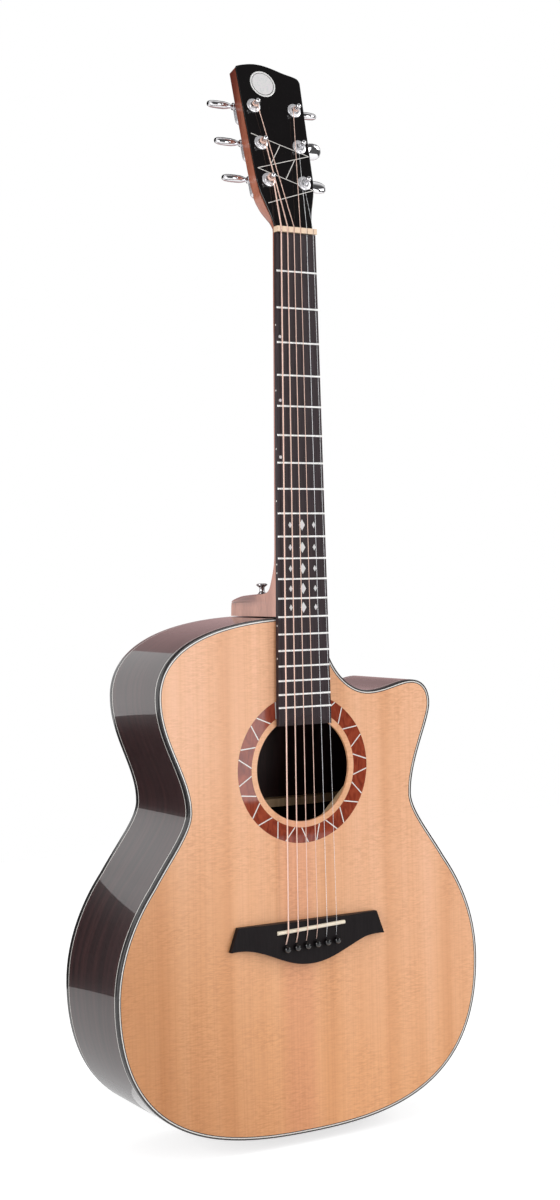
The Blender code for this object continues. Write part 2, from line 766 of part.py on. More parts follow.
def add_braces(root, materials, outline, under_top, under_back):
    """Soundboard and back braces, cut off just inside the linings, and the bridge plate."""
    reach = inset(outline, LINING_REACH + GAP + BRACE_WIDTH / 2)
    glued_y = SOUNDBOARD_Y + under_top
    crossing = (0.0, JOINT_Z - X_BRACE_CROSSING_DROP)
    between = X_BRACE_CROSSING_DROP - TRANSVERSE_BRACE_DROP - BRACE_WIDTH / 2 - GAP
    clear_of_transverse = between * math.sqrt(2) - BRACE_WIDTH / 2
    for number, angle_deg, notch in ((1, 45, "free"), (2, 135, "glued")):
        angle = math.radians(angle_deg)
        direction = (math.cos(angle), math.sin(angle))
        end = min(clear_of_transverse, rim_crossing(reach, crossing, direction))
        start = -rim_crossing(reach, crossing, (-direction[0], -direction[1]))
        profile = brace_profile(start, end, BRACE_HEIGHT, notch)
        name = f"x_brace_{number}"
        mesh = brace(name, crossing, angle_deg, profile, glued_y, 1)
        add_object(name, mesh, materials["spruce"], parent=root)

    centre = (0.0, JOINT_Z - TRANSVERSE_BRACE_DROP)
    ends = (-rim_crossing(reach, centre, (-1, 0)), rim_crossing(reach, centre, (1, 0)))
    profile = brace_profile(ends[0], ends[1], BRACE_HEIGHT)
    mesh = brace("transverse_brace", centre, 0, profile, glued_y, 1)
    add_object("transverse_brace", mesh, materials["spruce"], parent=root)

    half = TONE_BAR_LENGTH / 2
    profile = brace_profile(-half, half, BRACE_HEIGHT)
    centre = (TONE_BAR_CENTRE_X, JOINT_Z - TONE_BAR_DROP)
    mesh = brace("tone_bar", centre, TONE_BAR_ANGLE_DEG, profile, glued_y, 1)
    add_object("tone_bar", mesh, materials["spruce"], parent=root)

    for number, drop in ((1, UPPER_BACK_BRACE_DROP), (2, LOWER_BACK_BRACE_DROP)):
        centre = (0.0, JOINT_Z - drop)
        ends = (-rim_crossing(reach, centre, (-1, 0)), rim_crossing(reach, centre, (1, 0)))
        profile = brace_profile(ends[0], ends[1], BACK_BRACE_HEIGHT)
        name = f"back_brace_{number}"
        mesh = brace(name, centre, 0, profile, from_back(under_back), -1)
        add_object(name, mesh, materials["spruce"], parent=root)

    plate_low = -PIN_DISTANCE - BRIDGE_PLATE_LENGTH / 2
    plate = box(
        "bridge_plate",
        (-BRIDGE_PLATE_WIDTH / 2, glued_y, plate_low),
        (BRIDGE_PLATE_WIDTH / 2, glued_y + BRIDGE_PLATE_THICKNESS, plate_low + BRIDGE_PLATE_LENGTH),
    )
    add_object("bridge_plate", plate, materials["maple"], parent=root)


# Bridge


def slant(x, distance):
    """Height of a point on a line across the strings that leans as the saddle does."""
    return -distance + x * math.tan(math.radians(SADDLE_TILT_DEG))


def string_x(number, spread):
    """Sideways place of a string; number 1 is the thinnest, on the treble side."""
    return spread * (0.5 - (number - 1) / 5)


def bridge_outline():
    corner = (BRIDGE_CORNER_WIDTH / 2, -BRIDGE_CORNER_EDGE)
    belly = (0.0, -BRIDGE_BELLY_EDGE)
    right = bezier(corner, (0.048, corner[1] + 0.0033), (0.033, belly[1]), belly, 8)
    left = [(-x, z) for x, z in right[:0:-1]] + [(-corner[0], corner[1])]
    top = -BRIDGE_TOP_EDGE
    return right + [belly] + left + [(-BRIDGE_TOP_WIDTH / 2, top), (BRIDGE_TOP_WIDTH / 2, top)]


def bridge_mesh():
    """The bridge blank, cut across at the ends of its scooped wings, whose tops are then lowered."""
    mesh = prism("bridge", bridge_outline(), BRIDGE_TOP_Y, SOUNDBOARD_Y - GAP)
    shape = bmesh.new()
    shape.from_mesh(mesh)
    for x in (-BRIDGE_WING_END, -BRIDGE_WING_START, BRIDGE_WING_START, BRIDGE_WING_END):
        everything = shape.verts[:] + shape.edges[:] + shape.faces[:]
        bmesh.ops.bisect_plane(shape, geom=everything, plane_co=(x, 0, 0), plane_no=(1, 0, 0))
    drop = BRIDGE_THICKNESS - BRIDGE_WING_THICKNESS
    for vertex in shape.verts:
        if vertex.co.y < BRIDGE_TOP_Y + GAP:
            share = (abs(vertex.co.x) - BRIDGE_WING_START) / (BRIDGE_WING_END - BRIDGE_WING_START)
            vertex.co.y += drop * min(1.0, max(0.0, share))
    shape.to_mesh(mesh)
    shape.free()
    mesh.set_sharp_from_angle(angle=math.radians(30.0))
    return mesh


def add_bridge(root, materials, soundboard):
    bridge = add_object("bridge", bridge_mesh(), materials["ebony"], parent=root)
    plate = bpy.data.objects["bridge_plate"]
    tilt = Matrix.Rotation(math.radians(-SADDLE_TILT_DEG), 4, "Y")
    saddle_frame = Matrix.Translation((0, BRIDGE_TOP_Y, -SADDLE_DISTANCE)) @ tilt

    half_length = SADDLE_LENGTH / 2
    half_thickness = SADDLE_THICKNESS / 2
    stand = SADDLE_TOP_Y - BRIDGE_TOP_Y
    section = [(-half_thickness, SADDLE_SEAT_DEPTH), (half_thickness, SADDLE_SEAT_DEPTH)]
    section += [(half_thickness, stand + half_thickness)]
    section += [
        (half_thickness * math.cos(turn), stand + half_thickness * (1 - math.sin(turn)))
        for turn in (math.pi / 4, math.pi / 2, 3 * math.pi / 4)
    ]
    section += [(-half_thickness, stand + half_thickness)]
    rings = [[(x, y, z) for z, y in section] for x in (-half_length, half_length)]
    add_object("saddle", loft("saddle", rings), materials["bone"], saddle_frame, root)

    reach = SADDLE_SEAT_DEPTH + GAP
    slot = box(
        "saddle_slot",
        (-half_length - GAP, -0.01, -half_thickness - GAP),
        (half_length + GAP, reach, half_thickness + GAP),
    )
    combine(bridge, cutter("saddle_slot", slot, saddle_frame, root))

    holes = []
    slots = []
    upright = Matrix.Rotation(math.pi / 2, 4, "X")
    for number in range(1, 7):
        x = string_x(number, PIN_SPREAD)
        z = slant(x, PIN_DISTANCE)
        place = Matrix.Translation((x, 0, z))
        bore = turned("bore", ((PIN_SHANK_RADIUS + 0.0004, -0.03), (PIN_SHANK_RADIUS + 0.0004, 0.02)), 10)
        holes.append(moved(bore, place @ upright))
        groove = box(
            "groove",
            (-STRING_SLOT_WIDTH / 2, -0.02, 0.0),
            (STRING_SLOT_WIDTH / 2, 0.03, STRING_HOLE_OFFSET + STRING_SLOT_WIDTH / 2),
        )
        slots.append(moved(groove, place))
        add_object(f"bridge_pin_{number}", pin_mesh(), materials["pin"], pin_frame(x, z), root)
    bores = cutter("pin_bores", joined("pin_bores", holes), parent=root)
    grooves = cutter("string_grooves", joined("string_grooves", slots), parent=root)
    for item in (bridge, soundboard, plate):
        combine(item, bores)
        combine(item, grooves)


def pin_frame(x, z):
    """A bridge pin's frame: its axis runs from the bridge's top towards the player."""
    return Matrix.Translation((x, BRIDGE_TOP_Y, z)) @ Matrix.Rotation(math.pi / 2, 4, "X")


def pin_mesh():
    """Ball head above a tapered shank, heights measured up from the bridge's top."""
    centre = GAP + PIN_HEAD_RADIUS * 0.76
    rings = [(PIN_TIP_RADIUS, -PIN_LENGTH), (PIN_SHANK_RADIUS, -0.002), (PIN_SHANK_RADIUS, GAP)]
    for turn_deg in (-49, -20, 10, 38, 65):
        turn = math.radians(turn_deg)
        rings.append((PIN_HEAD_RADIUS * math.cos(turn), centre + PIN_HEAD_RADIUS * math.sin(turn)))
    return turned("bridge_pin", rings, 10)


# Neck


def neck_section(bass_half, treble_half, depth, straight_depth, squareness):
    """A cross-section as (x, depth): straight sides that draw in a little, then a rounded back."""
    points = [(treble_half, 0.0)]
    narrowing = 1 - HEEL_TAPER * straight_depth / DEPTH_AT_NECK
    for step in range(9):
        turn = math.pi * step / 8
        half = (treble_half if step <= 4 else bass_half) * narrowing
        across = math.copysign(abs(math.cos(turn)) ** (2 / squareness), math.cos(turn))
        down = (depth - straight_depth) * abs(math.sin(turn)) ** (2 / squareness)
        points.append((half * across, straight_depth + down))
    return points + [(-bass_half, 0.0)]


def neck_mesh():
    """The heel, the neck and the throat that swells into the headstock, from the body joint upwards."""
    stations = [(JOINT_Z + height, *form) for height, *form in HEEL_STATIONS[::-1]]
    stations.append((0.0010, NECK_DEPTH_AT_NUT, NECK_STRAIGHT_DEPTH, NECK_SQUARENESS))
    rings = []
    for z, depth, straight, squareness in stations:
        half = board_half_width(z) - NECK_INSET
        section = neck_section(half, half, depth, straight, squareness)
        rings.append([(x, SOUNDBOARD_Y + down, z) for x, down in section])
    head = headstock_frame()
    top = -(OVERLAY_THICKNESS + GAP + THROAT_SETBACK)
    for height, reach, depth, squareness in THROAT_STATIONS:
        bass_half, treble_half = headstock_halves(height)
        section = neck_section(bass_half + reach, treble_half + reach, depth, NECK_STRAIGHT_DEPTH, squareness)
        rings.append([head @ Vector((x, height, top - down)) for x, down in section])
    return loft("neck", rings)


def headstock_halves(height):
    """Half widths of the headstock's face on its bass and treble sides at a height up to its wings."""
    for low, high in zip(HEADSTOCK_SIDES, HEADSTOCK_SIDES[1:]):
        if height <= high[0]:
            share = (height - low[0]) / (high[0] - low[0])
            return tuple(low[side] + (high[side] - low[side]) * share for side in (1, 2))
    return HEADSTOCK_SIDES[-1][1:]


def headstock_outline():
    """Face of the headstock as (x, height up its face), its crest on the bass side of the middle."""
    top = HEADSTOCK_TOP_WIDTH / 2
    crest = [
        (top, HEADSTOCK_LENGTH - 0.0145),
        (top - 0.0015, HEADSTOCK_LENGTH - 0.0110),
        (top - 0.0055, HEADSTOCK_LENGTH - 0.0088),
        (0.0180, HEADSTOCK_LENGTH - 0.0062),
        (0.0050, HEADSTOCK_LENGTH - 0.0024),
        (-0.0060, HEADSTOCK_LENGTH - 0.0002),
        (-0.0140, HEADSTOCK_LENGTH),
        (-0.0240, HEADSTOCK_LENGTH - 0.0016),
        (-top + 0.0010, HEADSTOCK_LENGTH - 0.0046),
        (-top, HEADSTOCK_LENGTH - 0.0062),
    ]
    treble = [(half, height) for height, _, half in HEADSTOCK_SIDES]
    bass = [(-half, height) for height, half, _ in HEADSTOCK_SIDES]
    return treble + crest + bass[::-1]


def headstock_frame():
    """Frame on the headstock's front face: X to the treble side, Y up the face, Z out of it."""
    tilt = math.radians(HEADSTOCK_TILT_DEG)
    up = Vector((0, math.sin(tilt), math.cos(tilt)))
    out = Vector((0, -math.cos(tilt), math.sin(tilt)))
    frame = Matrix.Identity(4)
    for row in range(3):
        frame[row][0] = (1, 0, 0)[row]
        frame[row][1] = up[row]
        frame[row][2] = out[row]
        frame[row][3] = (0, HEADSTOCK_SETBACK, NUT_LENGTH)[row]
    return frame


def slab(name, outline, low, high):
    """An outline of (x, y) points given thickness along Z."""
    return loft(name, [[(x, y, low) for x, y in outline], [(x, y, high) for x, y in outline]])


def tuner_place(number):
    """Side (+1 treble) and place of a string's tuner on the headstock's face."""
    side = 1 if number <= 3 else -1
    across, height = TUNER_PLACES[number - 1 if number <= 3 else 6 - number]
    return side, side * across, height


def add_neck(root, materials):
    frame = headstock_frame()
    neck = add_object("neck", neck_mesh(), materials["mahogany"], parent=root)
    core_front = -(OVERLAY_THICKNESS + GAP)
    core = slab("headstock_core", headstock_outline(), HEADSTOCK_BACK, core_front)
    combine(neck, cutter("headstock_core", core, frame, root), "UNION")

    front = SOUNDBOARD_Y + SOUNDBOARD_THICKNESS + GAP
    tenon = box(
        "neck_tenon",
        (-TENON_WIDTH / 2, front, JOINT_Z - TENON_LENGTH),
        (TENON_WIDTH / 2, front + TENON_DEPTH, JOINT_Z + 0.01),
    )
    combine(neck, cutter("neck_tenon", tenon, parent=root), "UNION")

    rod_reach = TRUSS_ROD_RADIUS + GAP
    channel = box(
        "rod_channel",
        (-rod_reach, SOUNDBOARD_Y - 0.01, JOINT_Z - 0.05),
        (rod_reach, TRUSS_ROD_DEPTH + rod_reach, -TRUSS_ROD_START + GAP),
    )
    combine(neck, cutter("rod_channel", channel, parent=root))

    overlay = slab("headstock_overlay", headstock_outline(), -OVERLAY_THICKNESS, 0.0)
    overlay_item = add_object("headstock_overlay", overlay, materials["ebony"], frame, root)
    bores = []
    for number in range(1, 7):
        _, x, height = tuner_place(number)
        radius = BUSHING_SLEEVE_RADIUS + 0.0004
        bore = turned("bore", ((radius, -0.03), (radius, 0.02)), 12)
        bores.append(moved(bore, Matrix.Translation((x, height, 0))))
    tuner_bores = cutter("tuner_bores", joined("tuner_bores", bores), frame, root)
    combine(neck, tuner_bores)
    combine(overlay_item, tuner_bores)

    add_strap_button(root, materials, neck)
    add_truss_rod(root, materials)
    add_fingerboard(root, materials)
    add_nut(root, materials)


def add_strap_button(root, materials, neck):
    """The heel's strap button stands square on the small flat of the heel's upper side."""
    top = Vector((SOUNDBOARD_Y + STRAP_FACET_TOP[1], JOINT_Z + STRAP_FACET_TOP[0]))
    base = Vector((SOUNDBOARD_Y + STRAP_FACET_FOOT[1], JOINT_Z + STRAP_FACET_FOOT[0]))
    foot = (top + base) / 2
    lean = math.atan2(top.y - base.y, base.x - top.x)
    frame = Matrix.Translation((0, foot.x, foot.y)) @ Matrix.Rotation(-lean, 4, "X")
    button = turned("strap_button", STRAP_BUTTON_RINGS, 14)
    add_object("strap_button", button, materials["chrome"], frame, root)
    hole = turned("strap_screw_hole", ((0.0018, -0.0123), (0.0018, 0.01)), 8)
    combine(neck, cutter("strap_screw_hole", hole, frame, root))


def add_truss_rod(root, materials):
    """A round rod that turns in its channel, with a hex socket reached through the soundhole."""
    top = -TRUSS_ROD_START
    block_end = JOINT_Z - NECK_BLOCK_LENGTH
    nut_top = block_end - GAP
    nut_end = nut_top - TRUSS_ROD_NUT_LENGTH
    rings = ((TRUSS_ROD_NUT_RADIUS, nut_end), (TRUSS_ROD_NUT_RADIUS, nut_top))
    rings += ((TRUSS_ROD_RADIUS, nut_top), (TRUSS_ROD_RADIUS, top))
    frame = Matrix.Translation((0, TRUSS_ROD_DEPTH, 0))
    rod = add_object("truss_rod", turned("truss_rod", rings, 12), materials["steel"], frame, root)
    socket_rings = ((HEX_KEY_RADIUS, nut_end - 0.01), (HEX_KEY_RADIUS, nut_end + HEX_SOCKET_DEPTH))
    socket = turned("hex_socket", socket_rings, 6)
    combine(rod, cutter("hex_socket", socket, frame, root))


def add_fingerboard(root, materials):
    """The board with its frets, cut at its end along the soundhole's edge."""
    end_z = SOUNDHOLE_Z + math.sqrt(SOUNDHOLE_RADIUS**2 - board_half_width(SOUNDHOLE_Z) ** 2)
    profile = [(-GAP, FRET_HEIGHT + BOARD_THICKNESS), (-GAP, FRET_HEIGHT)]
    for number in range(1, FRET_COUNT + 1):
        z = fret_z(number)
        profile += [(z + FRET_WIDTH / 2, FRET_HEIGHT), (z + FRET_WIDTH / 4, 0.0)]
        profile += [(z - FRET_WIDTH / 4, 0.0), (z - FRET_WIDTH / 2, FRET_HEIGHT)]
    profile += [(end_z, FRET_HEIGHT), (end_z, FRET_HEIGHT + BOARD_THICKNESS)]
    rings = [[(side * board_half_width(z), y, z) for z, y in profile] for side in (-1, 1)]
    board = add_object("fingerboard", loft("fingerboard", rings), materials["ebony"], parent=root)
    arc = prism("board_end_arc", circle(SOUNDHOLE_RADIUS, 60, (0, SOUNDHOLE_Z)), -0.01, 0.02)
    combine(board, cutter("board_end_arc", arc, parent=root))


def string_radius(number):
    return STRING_DIAMETERS[number - 1] / 2


def add_nut(root, materials):
    """The nut across the board's end, with one slot for each string."""
    half = BOARD_WIDTH_AT_NUT / 2
    seat = SOUNDBOARD_Y - GAP
    top = -NUT_STAND
    profile = [(-half, seat), (half, seat), (half, top)]
    for number in range(1, 7):
        x = string_x(number, NUT_SPREAD)
        reach = string_radius(number) + GAP
        floor = -NUT_ACTION + GAP
        profile += [(x + reach, top), (x + reach, floor), (x - reach, floor), (x - reach, top)]
    profile += [(-half, top)]
    rings = [[(x, y, z) for x, y in profile] for z in (0.0, NUT_LENGTH)]
    add_object("nut", loft("nut", rings), materials["bone"], parent=root)


# Tuners


def wheel_mesh():
    """Worm wheel on the post: pointed teeth, with a gap between two of them facing the worm."""
    points = []
    tip = WHEEL_PITCH_RADIUS + THREAD_TIP
    root = WHEEL_PITCH_RADIUS - THREAD_ROOT - 0.0001
    for step in range(2 * WHEEL_TEETH):
        radius = root if step % 2 == 0 else tip
        turn = math.pi / 2 + math.pi * step / WHEEL_TEETH
        points.append((radius * math.cos(turn), radius * math.sin(turn)))
    low = WORM_AXIS_DEPTH - WHEEL_WIDTH / 2
    return slab("worm_wheel", points, low, low + WHEEL_WIDTH)


def post_mesh():
    """Ball-topped post with its waist for the string, joined with its worm wheel."""
    low = HOUSING_FRONT - HOUSING_DEPTH + HOUSING_WALL + RUNNING_GAP
    wheel_low = WORM_AXIS_DEPTH - WHEEL_WIDTH / 4
    rings = [(POST_STUB_RADIUS, low), (POST_STUB_RADIUS, wheel_low), (POST_RADIUS, wheel_low)]
    rings += [(POST_RADIUS, POST_SHOULDER), (POST_WAIST_RADIUS, POST_SHOULDER)]
    first = -math.acos(POST_WAIST_RADIUS / POST_BALL_RADIUS)
    last = math.radians(66)
    for step in range(5):
        turn = first + (last - first) * step / 4
        height = POST_BALL_HEIGHT + POST_BALL_RADIUS * math.sin(turn)
        rings.append((POST_BALL_RADIUS * math.cos(turn), height))
    post = add_object("post_blank", turned("post_blank", rings, 12))
    wheel = add_object("wheel_blank", wheel_mesh())
    return baked(post, [wheel], "UNION")


def thread_mesh(side):
    """The worm's ridge, a three-sided strip that winds round the shaft and is passed by the wheel's teeth."""
    rings = []
    steps = int(WORM_TURNS * WORM_TURN_POINTS)
    tip = WORM_PITCH_RADIUS + THREAD_TIP
    root = WORM_PITCH_RADIUS - THREAD_ROOT - RUNNING_GAP
    half_foot = WORM_PITCH / 2 - 0.0001
    for step in range(steps + 1):
        turns = step / WORM_TURN_POINTS - WORM_TURNS / 2
        along = WORM_PITCH * turns
        angle = 2 * math.pi * turns - math.pi / 2
        ring = []
        for shift, radius in ((-half_foot, root), (0.0, tip), (half_foot, root)):
            across = radius * math.cos(angle)
            height = radius * math.sin(angle)
            ring.append((side * (along + shift), WORM_AXIS_HEIGHT + height, WORM_AXIS_DEPTH - across))
        rings.append(ring)
    return loft("worm_thread", rings)


def key_mesh(side, turn_deg):
    """Worm shaft and oval button along X, with the button turned about the shaft."""
    core = WORM_PITCH_RADIUS - THREAD_ROOT
    worm_half = WORM_PITCH * (WORM_TURNS / 2 + 0.3)
    inner_end = HOUSING_HALF_WIDTH - HOUSING_WALL - RUNNING_GAP
    outer = HOUSING_HALF_WIDTH + RUNNING_GAP
    shaft = KEY_SHAFT_RADIUS
    wide = BUTTON_HALF_WIDTH
    thick = BUTTON_HALF_THICKNESS
    length = BUTTON_END - BUTTON_START
    stations = (
        (-inner_end, shaft, shaft),
        (-worm_half, shaft, shaft),
        (-worm_half, core, core),
        (worm_half, core, core),
        (worm_half, shaft, shaft),
        (outer, shaft, shaft),
        (outer, KEY_COLLAR_RADIUS, KEY_COLLAR_RADIUS),
        (outer + 0.0014, KEY_COLLAR_RADIUS, KEY_COLLAR_RADIUS),
        (outer + 0.0020, shaft + 0.0003, shaft + 0.0003),
        (BUTTON_START, shaft + 0.0003, shaft + 0.0003),
        (BUTTON_START + 0.20 * length, 0.90 * thick, 0.74 * wide),
        (BUTTON_START + 0.42 * length, thick, wide),
        (BUTTON_START + 0.66 * length, thick, wide),
        (BUTTON_START + 0.88 * length, 0.85 * thick, 0.74 * wide),
        (BUTTON_END, 0.40 * thick, 0.34 * wide),
    )
    turn = Matrix.Rotation(math.radians(turn_deg), 2)
    rings = []
    for along, half_thick, half_wide in stations:
        ring = []
        for height, depth in circle(1.0, 10):
            spot = turn @ Vector((height * half_thick, depth * half_wide))
            ring.append((side * along, WORM_AXIS_HEIGHT + spot.x, WORM_AXIS_DEPTH + spot.y))
        rings.append(ring)
    key = add_object("key_blank", loft("key_blank", rings))
    thread = add_object("thread_blank", thread_mesh(side))
    mesh = baked(key, [thread], "UNION")
    return moved(mesh, Matrix.Translation((0, -WORM_AXIS_HEIGHT, -WORM_AXIS_DEPTH)))


def housing_mesh(side):
    """Chamfered shell round the worm and its wheel, open where the post and the shaft pass out."""
    half = HOUSING_HALF_WIDTH
    worm_room = WORM_PITCH_RADIUS + THREAD_TIP + 0.0004
    low = (-half, -half, HOUSING_FRONT - HOUSING_DEPTH)
    high = (half, WORM_AXIS_HEIGHT + worm_room + HOUSING_WALL, HOUSING_FRONT)
    shell_outline = [(low[0], low[1]), (high[0], low[1]), (high[0], high[1]), (low[0], high[1])]
    shell_mesh = slab("housing", shell_outline, low[2], high[2])
    shape = bmesh.new()
    shape.from_mesh(shell_mesh)
    bmesh.ops.bevel(shape, geom=shape.edges[:], offset=1.2 * HOUSING_WALL, segments=1, affect="EDGES")
    shape.to_mesh(shell_mesh)
    shape.free()
    shell = add_object("housing_blank", shell_mesh)
    wall = HOUSING_WALL
    room_outline = [
        (low[0] + wall, low[1] + wall),
        (high[0] - wall, low[1] + wall),
        (high[0] - wall, high[1] - wall),
        (low[0] + wall, high[1] - wall),
    ]
    room_mesh = slab("housing_room", room_outline, low[2] + wall, high[2] - wall)
    room = add_object("housing_room", room_mesh)
    reach = POST_RADIUS + RUNNING_GAP
    post_hole = add_object("post_hole", turned("post_hole", ((reach, WORM_AXIS_DEPTH), (reach, 0.0)), 12))
    reach = KEY_SHAFT_RADIUS + RUNNING_GAP
    sideways = Matrix.Rotation(side * math.pi / 2, 4, "Y")
    worm_axis = Matrix.Translation((0, WORM_AXIS_HEIGHT, WORM_AXIS_DEPTH))
    drill = turned("shaft_hole", ((reach, 0.002), (reach, 0.02)), 10)
    shaft_hole = add_object("shaft_hole", moved(drill, worm_axis @ sideways))
    return baked(shell, [room, post_hole, shaft_hole])


def bushing_mesh():
    """Threaded sleeve through the headstock, with its round washer and collar on the face."""
    bore = POST_RADIUS + RUNNING_GAP
    flange_low = GAP
    flange_top = flange_low + BUSHING_FLANGE_THICKNESS
    sleeve_end = HEADSTOCK_BACK
    rings = (
        (bore, sleeve_end),
        (bore, BUSHING_COLLAR_HEIGHT),
        (BUSHING_COLLAR_RADIUS, BUSHING_COLLAR_HEIGHT),
        (BUSHING_COLLAR_RADIUS, flange_top),
        (BUSHING_FLANGE_RADIUS - 0.0004, flange_top),
        (BUSHING_FLANGE_RADIUS, flange_top - 0.0004),
        (BUSHING_FLANGE_RADIUS, flange_low),
        (BUSHING_SLEEVE_RADIUS, flange_low),
        (BUSHING_SLEEVE_RADIUS, sleeve_end),
    )
    return turned("bushing", rings, 12, closed=True)


def add_tuners(root, materials):
    head = headstock_frame()
    post = post_mesh()
    bushing = bushing_mesh()
    housings = {side: housing_mesh(side) for side in (1, -1)}
    for number in range(1, 7):
        side, x, height = tuner_place(number)
        frame = head @ Matrix.Translation((x, height, 0))
        chrome = materials["chrome"]
        add_object(f"tuner_housing_{number}", housings[side], chrome, frame, root)
        add_object(f"tuner_bushing_{number}", bushing, chrome, frame, root)
        add_object(f"tuner_post_{number}", post, chrome, frame, root)
        key_frame = frame @ Matrix.Translation((0, WORM_AXIS_HEIGHT, WORM_AXIS_DEPTH))
        key = key_mesh(side, KEY_TURNS_DEG[number - 1])
        add_object(f"tuner_key_{number}", key, chrome, key_frame, root)


# Strings


def winding(number, start, centre):
    """The string's run up to its post and its turns round the waist, in the headstock's frame."""
    side = 1 if number <= 3 else -1
    radius = POST_WAIST_RADIUS + RUNNING_GAP + string_radius(number)
    to_post = Vector((centre[0] - start.x, centre[1] - start.y))
    run = math.sqrt(to_post.length_squared - radius**2)
    heading = math.atan2(to_post.y, to_post.x) + side * math.atan2(radius, run)
    first = heading + side * math.pi / 2
    pitch = STRING_DIAMETERS[number - 1] + WINDING_SPACING
    low = POST_SHOULDER + RUNNING_GAP + string_radius(number)
    turns = WINDING_TURNS[number - 1]
    points = []
    steps = round(turns * LOOP_POINTS)
    for step in range(steps + 1):
        share = step / LOOP_POINTS
        angle = first - side * 2 * math.pi * share
        around = (centre[0] + radius * math.cos(angle), centre[1] + radius * math.sin(angle))
        points.append(Vector((*around, low + pitch * share)))
    return points


def string_points(number):
    """Centre line of a string from its ball end to its last turn, with a width factor at each point."""
    radius = string_radius(number)
    pin_x = string_x(number, PIN_SPREAD)
    hole_z = slant(pin_x, PIN_DISTANCE) + STRING_HOLE_OFFSET
    saddle_x = string_x(number, SADDLE_SPREAD)
    saddle_z = slant(saddle_x, SADDLE_DISTANCE)
    nut_x = string_x(number, NUT_SPREAD)
    over_saddle = SADDLE_TOP_Y - GAP - radius
    over_nut = -NUT_ACTION - radius
    anchor = UNDER_BOARD_Y + 2 * GAP + BRIDGE_PLATE_THICKNESS
    ball = BALL_END_RADIUS / radius
    points = [
        (pin_x, anchor + BALL_END_LENGTH, hole_z),
        (pin_x, anchor + GAP, hole_z),
        (pin_x, anchor, hole_z),
        (pin_x, BRIDGE_TOP_Y + 0.0005, hole_z),
        (pin_x, BRIDGE_TOP_Y - 0.0006, hole_z + 0.0004),
        (saddle_x, over_saddle + 0.0003, saddle_z - 0.0014),
        (saddle_x, over_saddle, saddle_z),
        (nut_x, over_nut, 0.0),
        (nut_x, over_nut, NUT_LENGTH - 0.0010),
        (nut_x, over_nut + 0.0001, NUT_LENGTH + 0.0004),
    ]
    widths = [ball, ball, 1.0] + [1.0] * (len(points) - 3)
    head = headstock_frame()
    start = head.inverted() @ Vector(points[-1])
    _, x, height = tuner_place(number)
    turns = winding(number, start, (x, height))
    points += [tuple(head @ spot) for spot in turns]
    widths += [1.0] * len(turns)
    return points, widths, turns


def least_gap(turns, diameter):
    """Smallest space between one turn and the next, from points at least half a turn apart."""
    apart = LOOP_POINTS // 2
    nearest = math.inf
    for index, first in enumerate(turns):
        for second in turns[index + apart :]:
            nearest = min(nearest, (first - second).length)
    return nearest - diameter


def add_strings(root, materials):
    for number in range(1, 7):
        points, widths, turns = string_points(number)
        curve = bpy.data.curves.new(f"string_{number}", "CURVE")
        curve.dimensions = "3D"
        curve.bevel_depth = string_radius(number)
        curve.bevel_resolution = 1
        curve.use_fill_caps = True
        spline = curve.splines.new("POLY")
        spline.points.add(len(points) - 1)
        for place, point, width in zip(spline.points, points, widths):
            place.co = (*point, 1.0)
            place.radius = width
        item = bpy.data.objects.new(f"string_{number}", curve)
        bpy.context.scene.collection.objects.link(item)
        curve.materials.append(materials["bronze" if number > 2 else "steel"])
        item.parent = root
        gap = least_gap(turns, STRING_DIAMETERS[number - 1])
        print(f"string_{number}: least gap between its turns {1000 * gap:.2f} mm")


def yoke_place():
    """Middle of the headstock's thickness at the height where the yoke's arms lie under its wings."""
    return headstock_frame() @ Vector((0, YOKE_HEIGHT, HEADSTOCK_BACK / 2))


def build_guitar():
    clear_scene()
    materials = {
        "spruce": make_material("spruce", (0.86, 0.58, 0.36), 0.30),
        "rosewood": make_material("rosewood", (0.055, 0.030, 0.032), 0.15),
        "mahogany": make_material("mahogany", (0.36, 0.15, 0.09), 0.35),
        "ebony": make_material("ebony", (0.018, 0.015, 0.015), 0.30),
        "burl": make_material("burl", (0.30, 0.09, 0.06), 0.25),
        "cedar": make_material("cedar", (0.45, 0.26, 0.16), 0.60),
        "maple": make_material("maple", (0.62, 0.46, 0.30), 0.50),
        "bone": make_material("bone", (0.86, 0.78, 0.62), 0.35),
        "pin": make_material("pin", (0.010, 0.010, 0.011), 0.10),
        "chrome": make_material("chrome", (0.80, 0.80, 0.82), 0.08, 1.0),
        "steel": make_material("steel", (0.62, 0.62, 0.64), 0.25, 1.0),
        "bronze": make_material("bronze", (0.78, 0.42, 0.26), 0.30, 1.0),
    }
    root = bpy.data.objects.new("guitar_origin", None)
    bpy.context.scene.collection.objects.link(root)
    root.location = -yoke_place()
    soundboard = add_body(root, materials)
    add_bridge(root, materials, soundboard)
    add_neck(root, materials)
    add_tuners(root, materials)
    add_strings(root, materials)
    place = yoke_place()
    print(f"nut and fret plane: z = {-place.z:.5f}, y = {-place.y:.5f}")


build_guitar()
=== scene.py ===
from math import atan2, copysign, cos, pi, radians, sin, sqrt, tan

import bmesh
import bpy
from mathutils import Matrix, Vector


